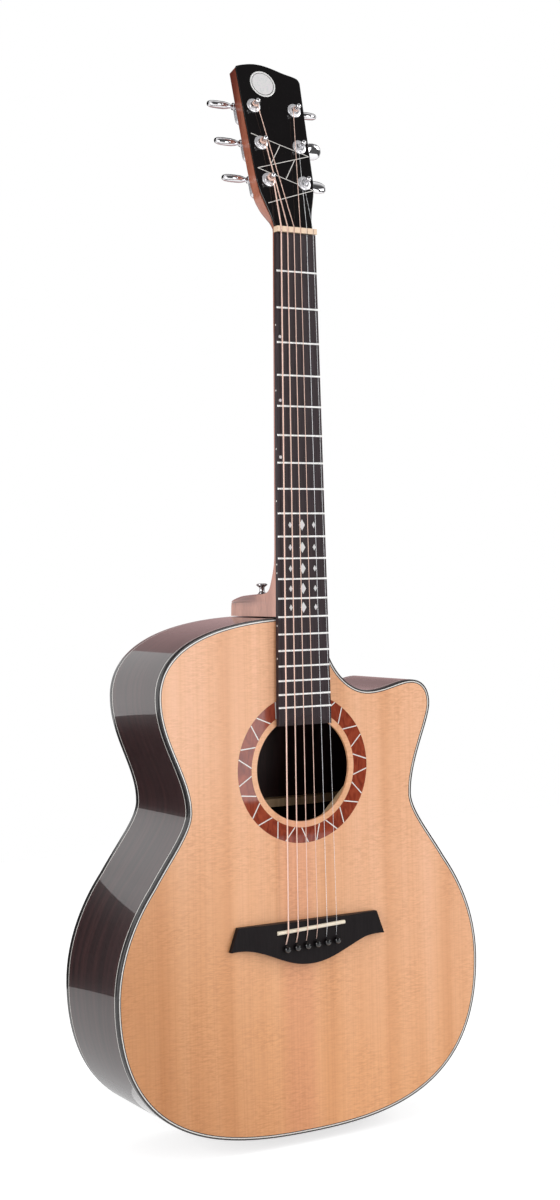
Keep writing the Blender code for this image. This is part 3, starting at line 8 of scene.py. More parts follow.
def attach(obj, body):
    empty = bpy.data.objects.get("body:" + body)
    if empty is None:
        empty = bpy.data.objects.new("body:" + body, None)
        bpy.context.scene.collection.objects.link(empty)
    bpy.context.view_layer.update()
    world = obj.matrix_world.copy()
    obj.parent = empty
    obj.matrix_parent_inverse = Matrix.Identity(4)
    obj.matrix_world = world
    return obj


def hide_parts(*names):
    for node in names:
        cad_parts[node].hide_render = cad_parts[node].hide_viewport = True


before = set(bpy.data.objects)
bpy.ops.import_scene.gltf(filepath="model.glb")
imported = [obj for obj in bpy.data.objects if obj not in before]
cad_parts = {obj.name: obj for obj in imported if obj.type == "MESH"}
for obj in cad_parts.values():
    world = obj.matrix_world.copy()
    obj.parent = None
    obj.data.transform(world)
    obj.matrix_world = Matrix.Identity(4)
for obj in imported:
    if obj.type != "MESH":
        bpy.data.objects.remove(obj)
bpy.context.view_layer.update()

# All lengths are in metres. Pieces are laid out from the nut (z = 0) and the plane of the fret tops (y = 0),
# and PLACE moves them to the shared frame.
PLACE = Vector((0.0, -0.01902022, -0.02808418))
GAP = 0.0003
PROUD = 0.00002

# Strings, fingerboard and nut
SCALE_LENGTH = 0.65
FRET_COUNT = 20
BODY_JOINT_FRET = 14
STRING_DIAMETERS = (0.0003, 0.0004, 0.0006, 0.0008, 0.0011, 0.00135)
NUT_SPREAD = 0.035
SADDLE_SPREAD = 0.053
WINDING_PITCH = 0.00045
PIN_SPREAD = 0.0545
FRET_HEIGHT = 0.001
FRET_WIDTH = 0.002
BOARD_CROWN = 0.0004
BOARD_WIDTH_AT_NUT = 0.0426
BOARD_WIDTH_AT_JOINT = 0.0542
BOARD_GLUE_Y = 0.0067
NUT_LENGTH = 0.0052
SOUNDBOARD_Y = 0.007

# Body
LOWER_BOUT = (0.1957, 0.3425)
FLANK = (0.158, 0.2395)
FLANK_SLOPE_DEG = 33.2
WAIST = (0.1212, 0.1753)
UPPER_BOUT = (-0.15, 0.0715)
HORN = (0.145, 0.0885)
HORN_TIP = (0.123, 0.065)
CUTAWAY_FLOOR = (0.075, 0.0732)
CUTAWAY_START = (0.0258, 0.016)
CUTAWAY_CORNER = (0.024, 0.0)
BODY_LENGTH = 0.4863
BODY_DEPTHS = ((0.0, 0.101), (0.17, 0.1133), (0.21, 0.1156), (0.25, 0.1165), (0.6, 0.1165))
PLATE_THICKNESS = 0.0028
SIDE_THICKNESS = 0.0025
LINING_DEPTH = 0.017
SOUNDHOLE_RADIUS = 0.05
ROSETTE_RADII = (0.0557, 0.0703)
ROSETTE_LINES = 26
BOARD_END_MARGIN = 0.0083

# Trim: distances inward from the edge, and depths behind the face
BINDING_WIDTH = 0.0016
PALE_LINE_END = 0.0025
TRIM_WIDTH = 0.0033
LINE_DEPTH = 0.002
BINDING_DEPTH = 0.006
SIDE_LINE_DEPTH = 0.0069

# Bridge: distances from the nut along the middle
BRIDGE_THICKNESS = 0.0082
BRIDGE_SLANT_DEG = 2.4
WING_START = 0.044
WING_REACH = 0.024
WING_DROP = 0.003
PIN_ROW = 0.6684
STRING_HOLE_SHIFT = 0.0046
SADDLE_ROW = 0.6525

# Neck and headstock
NECK_INSET = 0.0006
NECK_TOP = 0.001
NECK_DEPTH_AT_NUT = 0.0132
HEEL_TAPER = 0.21
OVERLAY_THICKNESS = 0.002
HEADSTOCK_TILT_DEG = 16.0
HEADSTOCK_SETBACK = 0.0045
INLAY_LINE_WIDTH = 0.0007
TUNER_PLACES = ((0.0192, 0.0483), (0.0209, 0.0868), (0.0223, 0.1259))
WORM_AXIS = (0.0096, -0.02085)
KEY_TURNS_DEG = (67.0, 122.0, 32.0, 30.0, 36.0, 28.0)
POST_WAIST_RADIUS = 0.0019
HOUSING_HALF_WIDTH = 0.0083
HOUSING_HALF_HEIGHT = 0.0111

# Studio
FLOOR_LEVEL = -0.8866
FLOOR_REACH = 1.8


def fret_z(number):
    return -SCALE_LENGTH * (1 - 2 ** (-number / 12))


JOINT_Z = fret_z(BODY_JOINT_FRET)
SOUNDHOLE_Z = fret_z(FRET_COUNT) - BOARD_END_MARGIN - SOUNDHOLE_RADIUS
BRIDGE_TOP = SOUNDBOARD_Y - GAP - BRIDGE_THICKNESS

# Materials by name, filled before the pieces are made
LOOKS = {}


def between(stations, place):
    """A value read off a list of (place, value) stations, on straight lines between them."""
    for (a, low), (b, high) in zip(stations, stations[1:]):
        if place <= b:
            share = max(0.0, (place - a) / (b - a))
            return low + (high - low) * share
    return stations[-1][1]


def back_y(z):
    return SOUNDBOARD_Y + between(BODY_DEPTHS, JOINT_Z - z)


def board_half(z):
    return (BOARD_WIDTH_AT_NUT + (BOARD_WIDTH_AT_JOINT - BOARD_WIDTH_AT_NUT) / JOINT_Z * z) / 2


# Mesh helpers


def shaded(shape, mesh, sharp_deg):
    """Write a shape to a mesh, smooth between its sharp edges."""
    shape.to_mesh(mesh)
    shape.free()
    mesh.shade_smooth()
    mesh.set_sharp_from_angle(angle=radians(sharp_deg))
    return mesh


def mesh_from(name, points, faces, sharp_deg=35.0):
    mesh = bpy.data.meshes.new(name)
    mesh.from_pydata([tuple(point) for point in points], [], faces)
    shape = bmesh.new()
    shape.from_mesh(mesh)
    bmesh.ops.recalc_face_normals(shape, faces=shape.faces)
    return shaded(shape, mesh, sharp_deg)


def sliced(mesh, places, normal):
    """A mesh opened for bending, with new rows of points at some distances along a direction."""
    shape = bmesh.new()
    shape.from_mesh(mesh)
    for place in places:
        everything = shape.verts[:] + shape.edges[:] + shape.faces[:]
        bmesh.ops.bisect_plane(shape, geom=everything, plane_co=Vector(normal) * place, plane_no=normal)
    return shape


def loft(name, rings, closed=False, sharp_deg=35.0):
    """Join rings of equal point counts; the ends are capped, or meet each other when closed."""
    count = len(rings[0])
    points = [point for ring in rings for point in ring]
    faces = []
    for index in range(len(rings) if closed else len(rings) - 1):
        start = index * count
        following = ((index + 1) % len(rings)) * count
        for step in range(count):
            after = (step + 1) % count
            faces.append((start + step, start + after, following + after, following + step))
    if not closed:
        faces.append(tuple(range(count))[::-1])
        faces.append(tuple(range((len(rings) - 1) * count, len(rings) * count)))
    return mesh_from(name, points, faces, sharp_deg)


def around(centre, radius, turn):
    return (centre[0] + radius * cos(turn), centre[1] + radius * sin(turn))


def circle(radius, count, centre=(0.0, 0.0)):
    return [around(centre, radius, 2 * pi * step / count) for step in range(count)]


def turned(name, rings, count=40, closed=False, sharp_deg=35.0):
    """A turned piece about Z from (radius, height) rings."""
    levels = [[(x, y, height) for x, y in circle(radius, count)] for radius, height in rings]
    return loft(name, levels, closed, sharp_deg)


def arc_rings(centre, height, radius, start_deg, end_deg, count):
    """Profile points (radius, height) on a circular arc, for turned pieces."""
    turns = [radians(start_deg + (end_deg - start_deg) * step / count) for step in range(count + 1)]
    return [around((centre, height), radius, turn) for turn in turns]


def prism(name, outline, front_y, rear_y):
    """An outline of (x, z) points given thickness along Y."""
    return loft(name, [[(x, y, z) for x, z in outline] for y in (front_y, rear_y)])


def joined(name, meshes):
    shape = bmesh.new()
    for mesh in meshes:
        shape.from_mesh(mesh)
        bpy.data.meshes.remove(mesh)
    return shaded(shape, bpy.data.meshes.new(name), 35.0)


def moved(mesh, matrix):
    mesh.transform(matrix)
    return mesh


def bezier(start, start_pull, end_pull, end, count):
    """Points of a cubic curve, without its last one."""
    points = []
    for step in range(count):
        t = step / count
        weights = ((1 - t) ** 3, 3 * (1 - t) ** 2 * t, 3 * (1 - t) * t**2, t**3)
        corners = (start, start_pull, end_pull, end)
        points.append(tuple(sum(w * c[axis] for w, c in zip(weights, corners)) for axis in (0, 1)))
    return points


def above(point, distance):
    return (point[0], point[1] + distance)


def beside(point, distance):
    return (point[0] + distance, point[1])


def inset(outline, distance):
    """The outline moved inward by a distance; its points run counterclockwise seen from the front."""
    result = []
    count = len(outline)
    for index in range(count):
        here = Vector(outline[index])
        before = (here - Vector(outline[index - 1])).normalized()
        after = (Vector(outline[(index + 1) % count]) - here).normalized()
        inward_a = Vector((-before.y, before.x))
        inward_b = Vector((-after.y, after.x))
        shift = (inward_a + inward_b) / (1 + inward_a.dot(inward_b))
        result.append(tuple(here + shift * distance))
    return result


def plate(name, outline, hole, front_y, rear_y):
    """A flat plate with a hole."""
    shape = bmesh.new()
    edges = []
    for loop in (outline, hole):
        corners = [shape.verts.new((x, front_y, z)) for x, z in loop]
        edges += [shape.edges.new((corners[i], corners[(i + 1) % len(corners)])) for i in range(len(corners))]
    bmesh.ops.triangle_fill(shape, use_beauty=True, use_dissolve=False, edges=edges)
    extruded = bmesh.ops.extrude_face_region(shape, geom=shape.faces[:])
    for item in extruded["geom"]:
        if isinstance(item, bmesh.types.BMVert):
            item.co.y += rear_y - front_y
    bmesh.ops.recalc_face_normals(shape, faces=shape.faces)
    return shaded(shape, bpy.data.meshes.new(name), 30.0)


def new_object(name, data):
    item = bpy.data.objects.new(name, data)
    bpy.context.scene.collection.objects.link(item)
    return item


def soften(item, width, segments, angle_deg=35.0):
    """Round an object's edges a little."""
    modifier = item.modifiers.new("soft_edges", "BEVEL")
    modifier.width = width
    modifier.segments = segments
    modifier.limit_method = "ANGLE"
    modifier.angle_limit = radians(angle_deg)
    return modifier


def add(name, data, look, body="guitar", matrix=None, covers=(), bevel=0.0, segments=2):
    """Put a piece in the scene, on the body it moves with."""
    item = new_object(name, data)
    data.materials.clear()
    data.materials.append(LOOKS[look])
    item.matrix_world = Matrix.Translation(PLACE) @ (matrix or Matrix.Identity(4))
    if bevel:
        soften(item, bevel, segments).harden_normals = True
    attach(item, body)
    if covers:
        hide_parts(*covers)
    return item


# Body outline: curves whose pulls at each end are lengths in metres


def half_outline(side, density):
    """The lower half on one side, from the bottom centre to the waist, and the waist's point."""
    lower, flank, waist = ((side * x, JOINT_Z - drop) for x, drop in (LOWER_BOUT, FLANK, WAIST))
    bottom = (0.0, JOINT_Z - BODY_LENGTH)
    slope = radians(FLANK_SLOPE_DEG)
    lean = (-side * sin(slope), cos(slope))
    into_flank = (flank[0] - lean[0] * 0.0081, flank[1] - lean[1] * 0.0081)
    out_of_flank = (flank[0] + lean[0] * 0.0315, flank[1] + lean[1] * 0.0315)
    points = bezier(bottom, beside(bottom, side * 0.0795), above(lower, -0.136), lower, 2 * density)
    points += bezier(lower, above(lower, 0.0565), into_flank, flank, density)
    points += bezier(flank, out_of_flank, above(waist, -0.0167), waist, density)
    return points, waist


def body_outline(density=20):
    """The whole outer outline, round from the bottom centre by the treble side, as (x, z)."""
    points, treble_waist = half_outline(1, density)
    bass, bass_waist = half_outline(-1, density)
    places = (HORN, HORN_TIP, CUTAWAY_FLOOR, CUTAWAY_START)
    horn, tip, floor, start = ((x, JOINT_Z - drop) for x, drop in places)
    upper = (UPPER_BOUT[0], JOINT_Z - UPPER_BOUT[1])
    points += bezier(treble_waist, above(treble_waist, 0.032), above(horn, -0.017), horn, density)
    points += bezier(horn, above(horn, 0.0145), beside(tip, 0.0138), tip, density)
    points += bezier(tip, beside(tip, -0.0139), beside(floor, 0.0195), floor, density)
    points += bezier(floor, beside(floor, -0.0265), above(start, -0.0271), start, density)
    points += [start, (CUTAWAY_CORNER[0], JOINT_Z)]
    full = bezier((0.0, JOINT_Z), (-0.076, JOINT_Z), above(upper, 0.055), upper, 2 * density)
    points += [(0.0, JOINT_Z)] + full[1:]
    points += bezier(upper, above(upper, -0.04), above(bass_waist, 0.0325), bass_waist, density)
    points += [bass_waist]
    points += bass[:0:-1]
    return points


def band(name, outline, section):
    """A closed band along the outline. The section is a loop of (distance inward, depth function)."""
    rings = [[(x, depth(z), z) for x, z in inset(outline, distance)] for distance, depth in section]
    return loft(name, rings, closed=True, sharp_deg=40.0)


def from_front(depth):
    return lambda z: SOUNDBOARD_Y + depth


def from_back(depth):
    return lambda z: back_y(z) - depth


def strip_section(near, far, side, shallow, deep):
    """Section of one line of trim, between two distances in from the edge and two depths."""
    return ((near, side(shallow)), (far, side(shallow)), (far, side(deep)), (near, side(deep)))


# Materials


def opaque(color):
    """A colour, or a grey level, with its alpha."""
    return (color, color, color, 1.0) if isinstance(color, float) else (*color, 1.0)


class Nodes:
    """Short ways to add nodes to a node tree."""

    def __init__(self, tree):
        self.tree = tree

    def new(self, kind):
        return self.tree.nodes.new("ShaderNode" + kind)

    def node(self, kind, settings=(), **inputs):
        made = self.new(kind)
        for name, value in dict(settings).items():
            setattr(made, name, value)
        for name, value in inputs.items():
            self.feed(made.inputs[int(name[1:]) if name[1:].isdigit() else name.replace("_", " ")], value)
        return made.outputs[0]

    def feed(self, socket, value):
        if isinstance(value, bpy.types.NodeSocket):
            self.tree.links.new(value, socket)
        else:
            socket.default_value = value

    def axes(self, vector):
        made = self.new("SeparateXYZ")
        self.feed(made.inputs[0], vector)
        return made.outputs

    def math(self, operation, first, second=0.0):
        return self.node("Math", {"operation": operation}, _0=first, _1=second)

    def plus(self, first, second):
        return self.math("ADD", first, second)

    def times(self, first, second):
        return self.math("MULTIPLY", first, second)


class Shader(Nodes):
    """A material, with short ways to colour it."""

    def __init__(self, name, roughness=0.4, metallic=0.0, coat=0.0, coat_roughness=0.05, specular=0.5):
        self.material = bpy.data.materials.new(name)
        self.material.use_nodes = True
        super().__init__(self.material.node_tree)
        self.surface = self.tree.nodes["Principled BSDF"]
        self.put("Roughness", roughness)
        self.put("Metallic", metallic)
        self.put("Coat Weight", coat)
        self.put("Coat Roughness", coat_roughness)
        self.put("Specular IOR Level", specular)

    def put(self, name, value):
        self.feed(self.surface.inputs[name], value)

    def place(self, output="Object"):
        return self.new("TexCoord").outputs[output]

    def vector(self, x, y, z):
        return self.node("CombineXYZ", X=x, Y=y, Z=z)

    def noise(self, vector, scale, detail, distortion=0.0, shift=(0.0, 0.0, 0.0)):
        scaled = self.node("VectorMath", {"operation": "MULTIPLY_ADD"}, _0=vector, _1=scale, _2=shift)
        return self.node("TexNoise", Vector=scaled, Scale=1.0, Detail=detail, Distortion=distortion)

    def ramp(self, value, *stops):
        """Colours or grey levels along a value."""
        made = self.new("ValToRGB")
        self.feed(made.inputs[0], value)
        elements = made.color_ramp.elements
        while len(elements) < len(stops):
            elements.new(1.0)
        for element, (place, color) in zip(elements, stops):
            element.position = place
            element.color = opaque(color)
        return made.outputs[0]

    def mix(self, share, first, second, blend="MIX"):
        made = self.new("Mix")
        made.data_type = "RGBA"
        made.blend_type = blend
        for index, value in ((0, share), (6, first), (7, second)):
            self.feed(made.inputs[index], opaque(value) if isinstance(value, tuple) else value)
        return made.outputs[2]

    def tinted(self, color, tint, share=1.0):
        """A colour multiplied by another, wholly or by a share."""
        return self.mix(share, color, tint, "MULTIPLY")

    def bump(self, height, strength, distance=0.0001):
        self.put("Normal", self.node("Bump", Strength=strength, Distance=distance, Height=height))


def spruce():
    """Quartersawn spruce under satin lacquer: fine upright grain, faint broad bands and silk across it;
    painted light makes it paler towards the upper right and darker towards the lower left.
    """
    s = Shader("spruce", roughness=0.4, coat=0.6, coat_roughness=0.22, specular=0.15)
    place = s.place()
    x, _, z = s.axes(place)
    wander = s.noise(place, (9.0, 0.0, 1.6), 2.0)
    across = s.plus(s.math("ABSOLUTE", s.plus(x, -0.0045)), s.times(wander, 0.01))
    grain = s.vector(across, 0.0, z)
    bands = s.noise(grain, (30.0, 0.0, 1.2), 2.0, shift=(0.0, 3.7, 0.0))
    stops = ((0.32, (0.7, 0.325, 0.138)), (0.5, (0.775, 0.385, 0.18)), (0.7, (0.825, 0.435, 0.222)))
    color = s.ramp(bands, *stops)
    middle = s.ramp(s.math("ABSOLUTE", s.plus(x, 0.008)), (0.01, 0.0), (0.024, 1.0))
    color = s.mix(middle, (0.735, 0.34, 0.166), color)
    lines = s.noise(grain, (560.0, 0.0, 1.4), 1.0, shift=(0.0, 1.3, 0.0))
    color = s.tinted(color, s.ramp(lines, (0.34, (0.8, 0.72, 0.64)), (0.54, 1.0)), 0.22)
    streaks = s.noise(place, (240.0, 0.0, 0.35), 0.0, shift=(0.0, 7.0, 0.0))
    color = s.tinted(color, s.ramp(streaks, (0.14, (0.72, 0.56, 0.46)), (0.19, 1.0)), 0.7)
    ripple = s.noise(place, (130.0, 0.0, 640.0), 3.0, 0.8, shift=(0.0, 5.0, 0.0))
    patch = s.noise(place, (22.0, 0.0, 15.0), 2.0, shift=(0.0, 2.0, 0.0))
    silk = s.ramp(ripple, (0.34, (0.82, 0.76, 0.7)), (0.62, 1.06))
    color = s.tinted(color, silk, s.ramp(patch, (0.35, 0.22), (0.65, 0.75)))
    # Painted reflection: the upper right is tinted paler, as a broad veil of lamp light on the lacquer.
    pale = s.ramp(s.plus(s.plus(z, s.times(x, 0.5)), 1.0), (0.23, 0.0), (0.47, 1.0))
    color = s.tinted(color, (1.04, 1.12, 1.36), pale)
    # Painted shade: the lower left is tinted darker.
    deep = s.ramp(s.plus(s.times(x, -1.5), s.times(z, -0.7)), (0.54, 0.0), (0.76, 1.0))
    color = s.tinted(color, (0.76, 0.69, 0.6), deep)
    s.put("Base Color", color)
    s.put("Roughness", s.ramp(ripple, (0.3, 0.34), (0.7, 0.46)))
    s.bump(lines, 0.06)
    return s.material


def rosewood(name, bent):
    """Dark straight-grained rosewood under gloss lacquer: round the bent sides, or up two matched halves."""
    s = Shader(name, roughness=0.42, coat=1.0, coat_roughness=0.035)
    first, second, third = s.axes(s.place("UV" if bent else "Object"))
    along, across = (first, second) if bent else (third, s.math("ABSOLUTE", first))
    grain = s.vector(along, across, 0.0)
    wander = s.noise(grain, (5.0, 12.0, 0.0), 2.0)
    drift = s.vector(along, s.plus(across, s.times(wander, 0.02)), 0.0)
    streaks = s.noise(drift, (3.0, 170.0, 0.0), 4.0, shift=(0.0, 0.0, 2.0))
    color = s.ramp(
        streaks,
        (0.28, (0.016, 0.0066, 0.0076)),
        (0.45, (0.03, 0.011, 0.0122)),
        (0.6, (0.044, 0.0165, 0.017)),
        (0.78, (0.058, 0.0235, 0.0225)),
    )
    pores = s.noise(grain, (55.0, 1500.0, 0.0), 2.0, shift=(0.0, 0.0, 6.0))
    s.put("Base Color", s.tinted(color, s.ramp(pores, (0.34, (0.35, 0.32, 0.32)), (0.52, 1.0)), 0.55))
    s.bump(pores, 0.04)
    return s.material


def mahogany():
    """Lacquered mahogany; painted reflection makes the heel paler, and painted shade darkens the heel's upper
    side.
    """
    s = Shader("mahogany", roughness=0.34, coat=0.9, coat_roughness=0.12)
    place = s.place()
    _, y, z = s.axes(place)
    broad = s.noise(place, (70.0, 70.0, 5.0), 2.0)
    color = s.ramp(broad, (0.3, (0.36, 0.115, 0.065)), (0.5, (0.46, 0.16, 0.095)), (0.72, (0.56, 0.22, 0.14)))
    pores = s.noise(place, (1900.0, 1900.0, 95.0), 2.0)
    color = s.tinted(color, s.ramp(pores, (0.36, (0.45, 0.36, 0.34)), (0.5, 1.0)), 0.55)
    # Painted reflection: the heel is tinted paler, as a veil of light on its lacquer; the shaft and head get
    # a deeper tint.
    height = s.plus(z, 1.0)
    shaft = s.ramp(height, (0.645, 0.0), (0.72, 1.0))
    color = s.tinted(color, s.mix(shaft, (1.14, 1.34, 1.5), (0.86, 0.76, 0.7)))
    # Painted shade: the upper side of the heel is tinted darker.
    painted_heel_shade = s.times(s.ramp(height, (0.651, 0.0), (0.656, 1.0)), s.ramp(y, (0.036, 0.0), (0.056, 1.0)))
    s.put("Base Color", s.tinted(color, (0.4, 0.24, 0.24), painted_heel_shade))
    s.put("Roughness", s.ramp(broad, (0.3, 0.3), (0.7, 0.42)))
    s.bump(pores, 0.12)
    return s.material


def wood(name, dark, pale, roughness=0.6, grain=(220.0, 220.0, 7.0), specular=0.4):
    """Bare or oiled wood for the smaller pieces."""
    s = Shader(name, roughness=roughness, specular=specular)
    bands = s.noise(s.place(), grain, 3.0, 0.4)
    s.put("Base Color", s.ramp(bands, (0.32, dark), (0.68, pale)))
    s.put("Roughness", s.ramp(bands, (0.3, roughness - 0.06), (0.7, roughness + 0.06)))
    s.bump(bands, 0.15, 0.0002)
    return s.material


def clouded(s, color, variation, marks, detail, smoothest, roughest):
    """Faint marks in a polished surface's colour and roughness."""
    cloud = s.noise(s.place(), (marks, marks, marks), detail)
    s.put("Base Color", s.ramp(cloud, (0.3, tuple(c * (1 - variation) for c in color)), (0.7, color)))
    s.put("Roughness", s.ramp(cloud, (0.3, smoothest), (0.7, roughest)))
    return s.material


def gloss(name, color, roughness=0.1, variation=0.12, coat=0.5, specular=0.5):
    """Polished plastic, bone or lacquer."""
    s = Shader(name, roughness=roughness, coat=coat, coat_roughness=0.04, specular=specular)
    return clouded(s, color, variation, 130.0, 3.0, roughness, roughness * 1.6)


def metal(name, color, roughness, metallic=1.0):
    s = Shader(name, roughness=roughness, metallic=metallic)
    return clouded(s, color, 0.1, 900.0, 2.0, roughness * 0.7, roughness * 1.5)


def wound():
    """Bronze winding: fine turns along the string, with painted shade darkening the grooves between the
    turns.
    """
    s = Shader("wound_bronze", roughness=0.34, metallic=0.35)
    turns = s.math("SINE", s.times(s.axes(s.place())[2], 2 * pi / WINDING_PITCH))
    # Painted shade: the troughs of the turns, the grooves, are coloured darker.
    s.put("Base Color", s.ramp(turns, (0.1, (0.8, 0.5, 0.41)), (0.8, (1.0, 0.78, 0.67))))
    s.bump(turns, 0.35)
    return s.material


def burl():
    """Reddish polished wood with a lively figure."""
    s = Shader("burl", roughness=0.3, coat=0.8, coat_roughness=0.03, specular=0.04)
    place = s.place()
    warp = s.noise(place, (45.0, 45.0, 45.0), 3.0)
    swirl = s.noise(place, (150.0, 150.0, 60.0), 4.0, 1.6)
    color = s.ramp(
        swirl,
        (0.3, (0.165, 0.021, 0.009)),
        (0.5, (0.25, 0.038, 0.015)),
        (0.7, (0.32, 0.058, 0.024)),
    )
    s.put("Base Color", s.tinted(color, s.ramp(warp, (0.35, (0.7, 0.6, 0.55)), (0.6, 1.0)), 0.35))
    return s.material


def pearl():
    s = Shader("pearl", roughness=0.16, coat=0.8, coat_roughness=0.05)
    swirl = s.noise(s.place(), (260.0, 260.0, 120.0), 3.0, 1.6)
    stops = ((0.3, (0.56, 0.59, 0.61)), (0.48, (0.75, 0.74, 0.73)), (0.66, (0.72, 0.67, 0.71)))
    s.put("Base Color", s.ramp(swirl, *stops))
    return s.material


# Body


def with_length_uv(mesh, outline_count):
    """Give a band UVs: length round the outline and depth behind the soundboard's face."""
    layer = mesh.uv_layers.new(name="grain")
    lengths = [0.0]
    for index in range(1, outline_count):
        lengths.append(lengths[-1] + (mesh.vertices[index].co - mesh.vertices[index - 1].co).length)
    for face in mesh.polygons:
        steps = [mesh.loops[loop].vertex_index % outline_count for loop in face.loop_indices]
        wraps = max(steps) - min(steps) > 2
        for loop, step in zip(face.loop_indices, steps):
            along = lengths[step] + (lengths[-1] if wraps and step < 2 else 0.0)
            layer.data[loop].uv = (along, mesh.vertices[mesh.loops[loop].vertex_index].co.y - SOUNDBOARD_Y)
    return mesh


def add_body():
    outline = body_outline()
    field = inset(outline, TRIM_WIDTH)
    hole = circle(SOUNDHOLE_RADIUS, 96, (0.0, SOUNDHOLE_Z))
    top = plate("soundboard", field, hole, SOUNDBOARD_Y, SOUNDBOARD_Y + PLATE_THICKNESS)
    add("soundboard_dressed", top, "spruce", covers=("soundboard",), bevel=0.0005)

    # Outer face, rebate for the binding, shelf for the plate, lining: distances inward and from each face
    half = ((0.0, 0.0061), (0.0035, 0.0061), (0.0085, 0.0032), (SIDE_THICKNESS, LINING_DEPTH))
    front = [(inward, from_front(depth)) for inward, depth in half]
    back = [(inward, from_back(depth)) for inward, depth in half]
    sides = with_length_uv(band("sides", outline, front[:1] + back + front[:0:-1]), len(outline))
    add("sides_dressed", sides, "side", covers=("sides",))

    back = prism("back_plate", field, 0.0, PLATE_THICKNESS)
    shape = sliced(back, [JOINT_Z - drop for drop, _ in BODY_DEPTHS[1:-1]], (0, 0, 1))
    for vertex in shape.verts:
        vertex.co.y += back_y(vertex.co.z) - PLATE_THICKNESS
    back = shaded(shape, back, 35.0)
    add("back_dressed", back, "back", covers=("back_plate",))

    rounded = ((0.0004, 0.0), (BINDING_WIDTH, 0.0), (BINDING_WIDTH, BINDING_DEPTH), (0.0, BINDING_DEPTH))
    rounded += ((0.0, 0.0005), (0.0001, 0.0002))
    for node, side in (("top_binding", from_front), ("back_binding", from_back)):
        lines = (
            ("black", "binding", (node,), [(inward, side(depth)) for inward, depth in rounded]),
            ("pale", "ivory", (), strip_section(BINDING_WIDTH, PALE_LINE_END, side, 0.0, LINE_DEPTH)),
            ("line", "binding", (), strip_section(PALE_LINE_END, TRIM_WIDTH, side, 0.0, LINE_DEPTH)),
            ("side_line", "ivory", (), strip_section(-PROUD, 0.001, side, BINDING_DEPTH, SIDE_LINE_DEPTH)),
        )
        for part, look, covers, line in lines:
            name = f"{node}_{part}"
            add(name, band(name, outline, line), look, covers=covers)

    low, high = JOINT_Z - BODY_LENGTH + 0.0034, JOINT_Z - 0.0034
    rings = []
    for step in range(61):
        z = low + (high - low) * step / 60
        y = back_y(z)
        outer, inner = y + 0.00003, y - 0.001
        rings.append([(-0.0026, outer, z), (0.0026, outer, z), (0.0026, inner, z), (-0.0026, inner, z)])
    add("back_strip", loft("back_strip", rings), "back_strip")


def add_rosette():
    """A ring of polished burl with evenly spaced slanting lines."""
    face, rear = SOUNDBOARD_Y - 0.00003, SOUNDBOARD_Y + 0.001
    inner, outer = ROSETTE_RADII
    rings = [
        [(x, y, z) for x, z in circle(radius, 128, (0.0, SOUNDHOLE_Z))]
        for radius, y in ((inner, face), (outer, face), (outer, rear), (inner, rear))
    ]
    wood = loft("rosette_wood", rings, closed=True)
    add("rosette_wood", wood, "burl", covers=("rosette",))
    lines = []
    for index in range(ROSETTE_LINES):
        turn = 2 * pi * (index + 0.5) / ROSETTE_LINES
        lean = 0.055 if index % 2 else -0.055
        start = Vector(around((0.0, 0.0), inner + 0.0002, turn - lean))
        end = Vector(around((0.0, 0.0), outer - 0.0002, turn + lean))
        corners = thin_line(start, end, 0.001)
        rings = [[(x, y, z + SOUNDHOLE_Z) for x, z in corners] for y in (face - PROUD, face + 0.0003)]
        lines.append(loft("line", rings))
    add("rosette_lines", joined("rosette_lines", lines), "ivory")


def thin_line(start, end, width):
    """Four corners of a thin straight line between two points of a plane."""
    along = (end - start).normalized()
    side = Vector((-along.y, along.x)) * width / 2
    return [tuple(start - side), tuple(end - side), tuple(end + side), tuple(start + side)]


# Bridge


def slant(x, distance):
    return -distance + x * tan(radians(BRIDGE_SLANT_DEG))


def string_x(number, spread):
    return spread * (0.5 - (number - 1) / 5)


def add_bridge():
    corner = (0.0835, -0.6673)
    belly = (0.0, -0.6862)
    right = bezier(corner, (0.048, corner[1] + 0.0033), (0.033, belly[1]), belly, 30)
    outline = right + [belly] + [(-x, z) for x, z in right[:0:-1]] + [(-corner[0], corner[1])]
    outline += [(-0.0755, -0.6454), (0.0755, -0.6454)]
    mesh = prism("bridge", outline, BRIDGE_TOP, SOUNDBOARD_Y - GAP)
    cuts = [WING_START + 0.001 * step for step in range(25)]
    shape = sliced(mesh, [-cut for cut in cuts] + cuts, (1, 0, 0))
    for vertex in shape.verts:
        if vertex.co.y < BRIDGE_TOP + GAP:
            share = min(1.0, max(0.0, (abs(vertex.co.x) - WING_START) / WING_REACH))
            vertex.co.y += WING_DROP * (1 - cos(pi * share)) / 2
    mesh = shaded(shape, mesh, 30.0)
    add("bridge_dressed", mesh, "bridge", covers=("bridge",), bevel=0.0007, segments=3)

    profile = [(0.0019, -0.021), (0.0024, -0.002), (0.0024, 0.0002)]
    profile += arc_rings(0.0, 0.0029, 0.0034, -49, 86, 16)
    for number in range(1, 7):
        x = string_x(number, PIN_SPREAD)
        matrix = Matrix.Translation((x, BRIDGE_TOP, slant(x, PIN_ROW))) @ Matrix.Rotation(pi / 2, 4, "X")
        pin = turned(f"pin_{number}", profile, 28)
        add(f"pin_dressed_{number}", pin, "pin", matrix=matrix, covers=(f"bridge_pin_{number}",))


# Neck and headstock

# Heel and shaft: height over the body joint, depth, depth of the straight cheek, squareness
HEEL = (
    (0.0003, 0.101, 0.098, 6.0), (0.013, 0.101, 0.09, 7.0), (0.0142, 0.101, 0.052, 8.0),
    (0.016, 0.0995, 0.037, 6.0), (0.018, 0.094, 0.03, 4.5), (0.0195, 0.0865, 0.0255, 4.0),
    (0.0206, 0.08, 0.0227, 2.4), (0.0212, 0.067, 0.021, 2.4), (0.0218, 0.044, 0.019, 2.1),
    (0.0245, 0.0295, 0.0138, 1.9), (0.031, 0.0225, 0.0098, 1.9), (0.0455, 0.017, 0.0032, 1.9),
    (0.0575, 0.0154, 0.0012, 1.9), (0.0905, 0.015, 0.0008, 1.9),
)
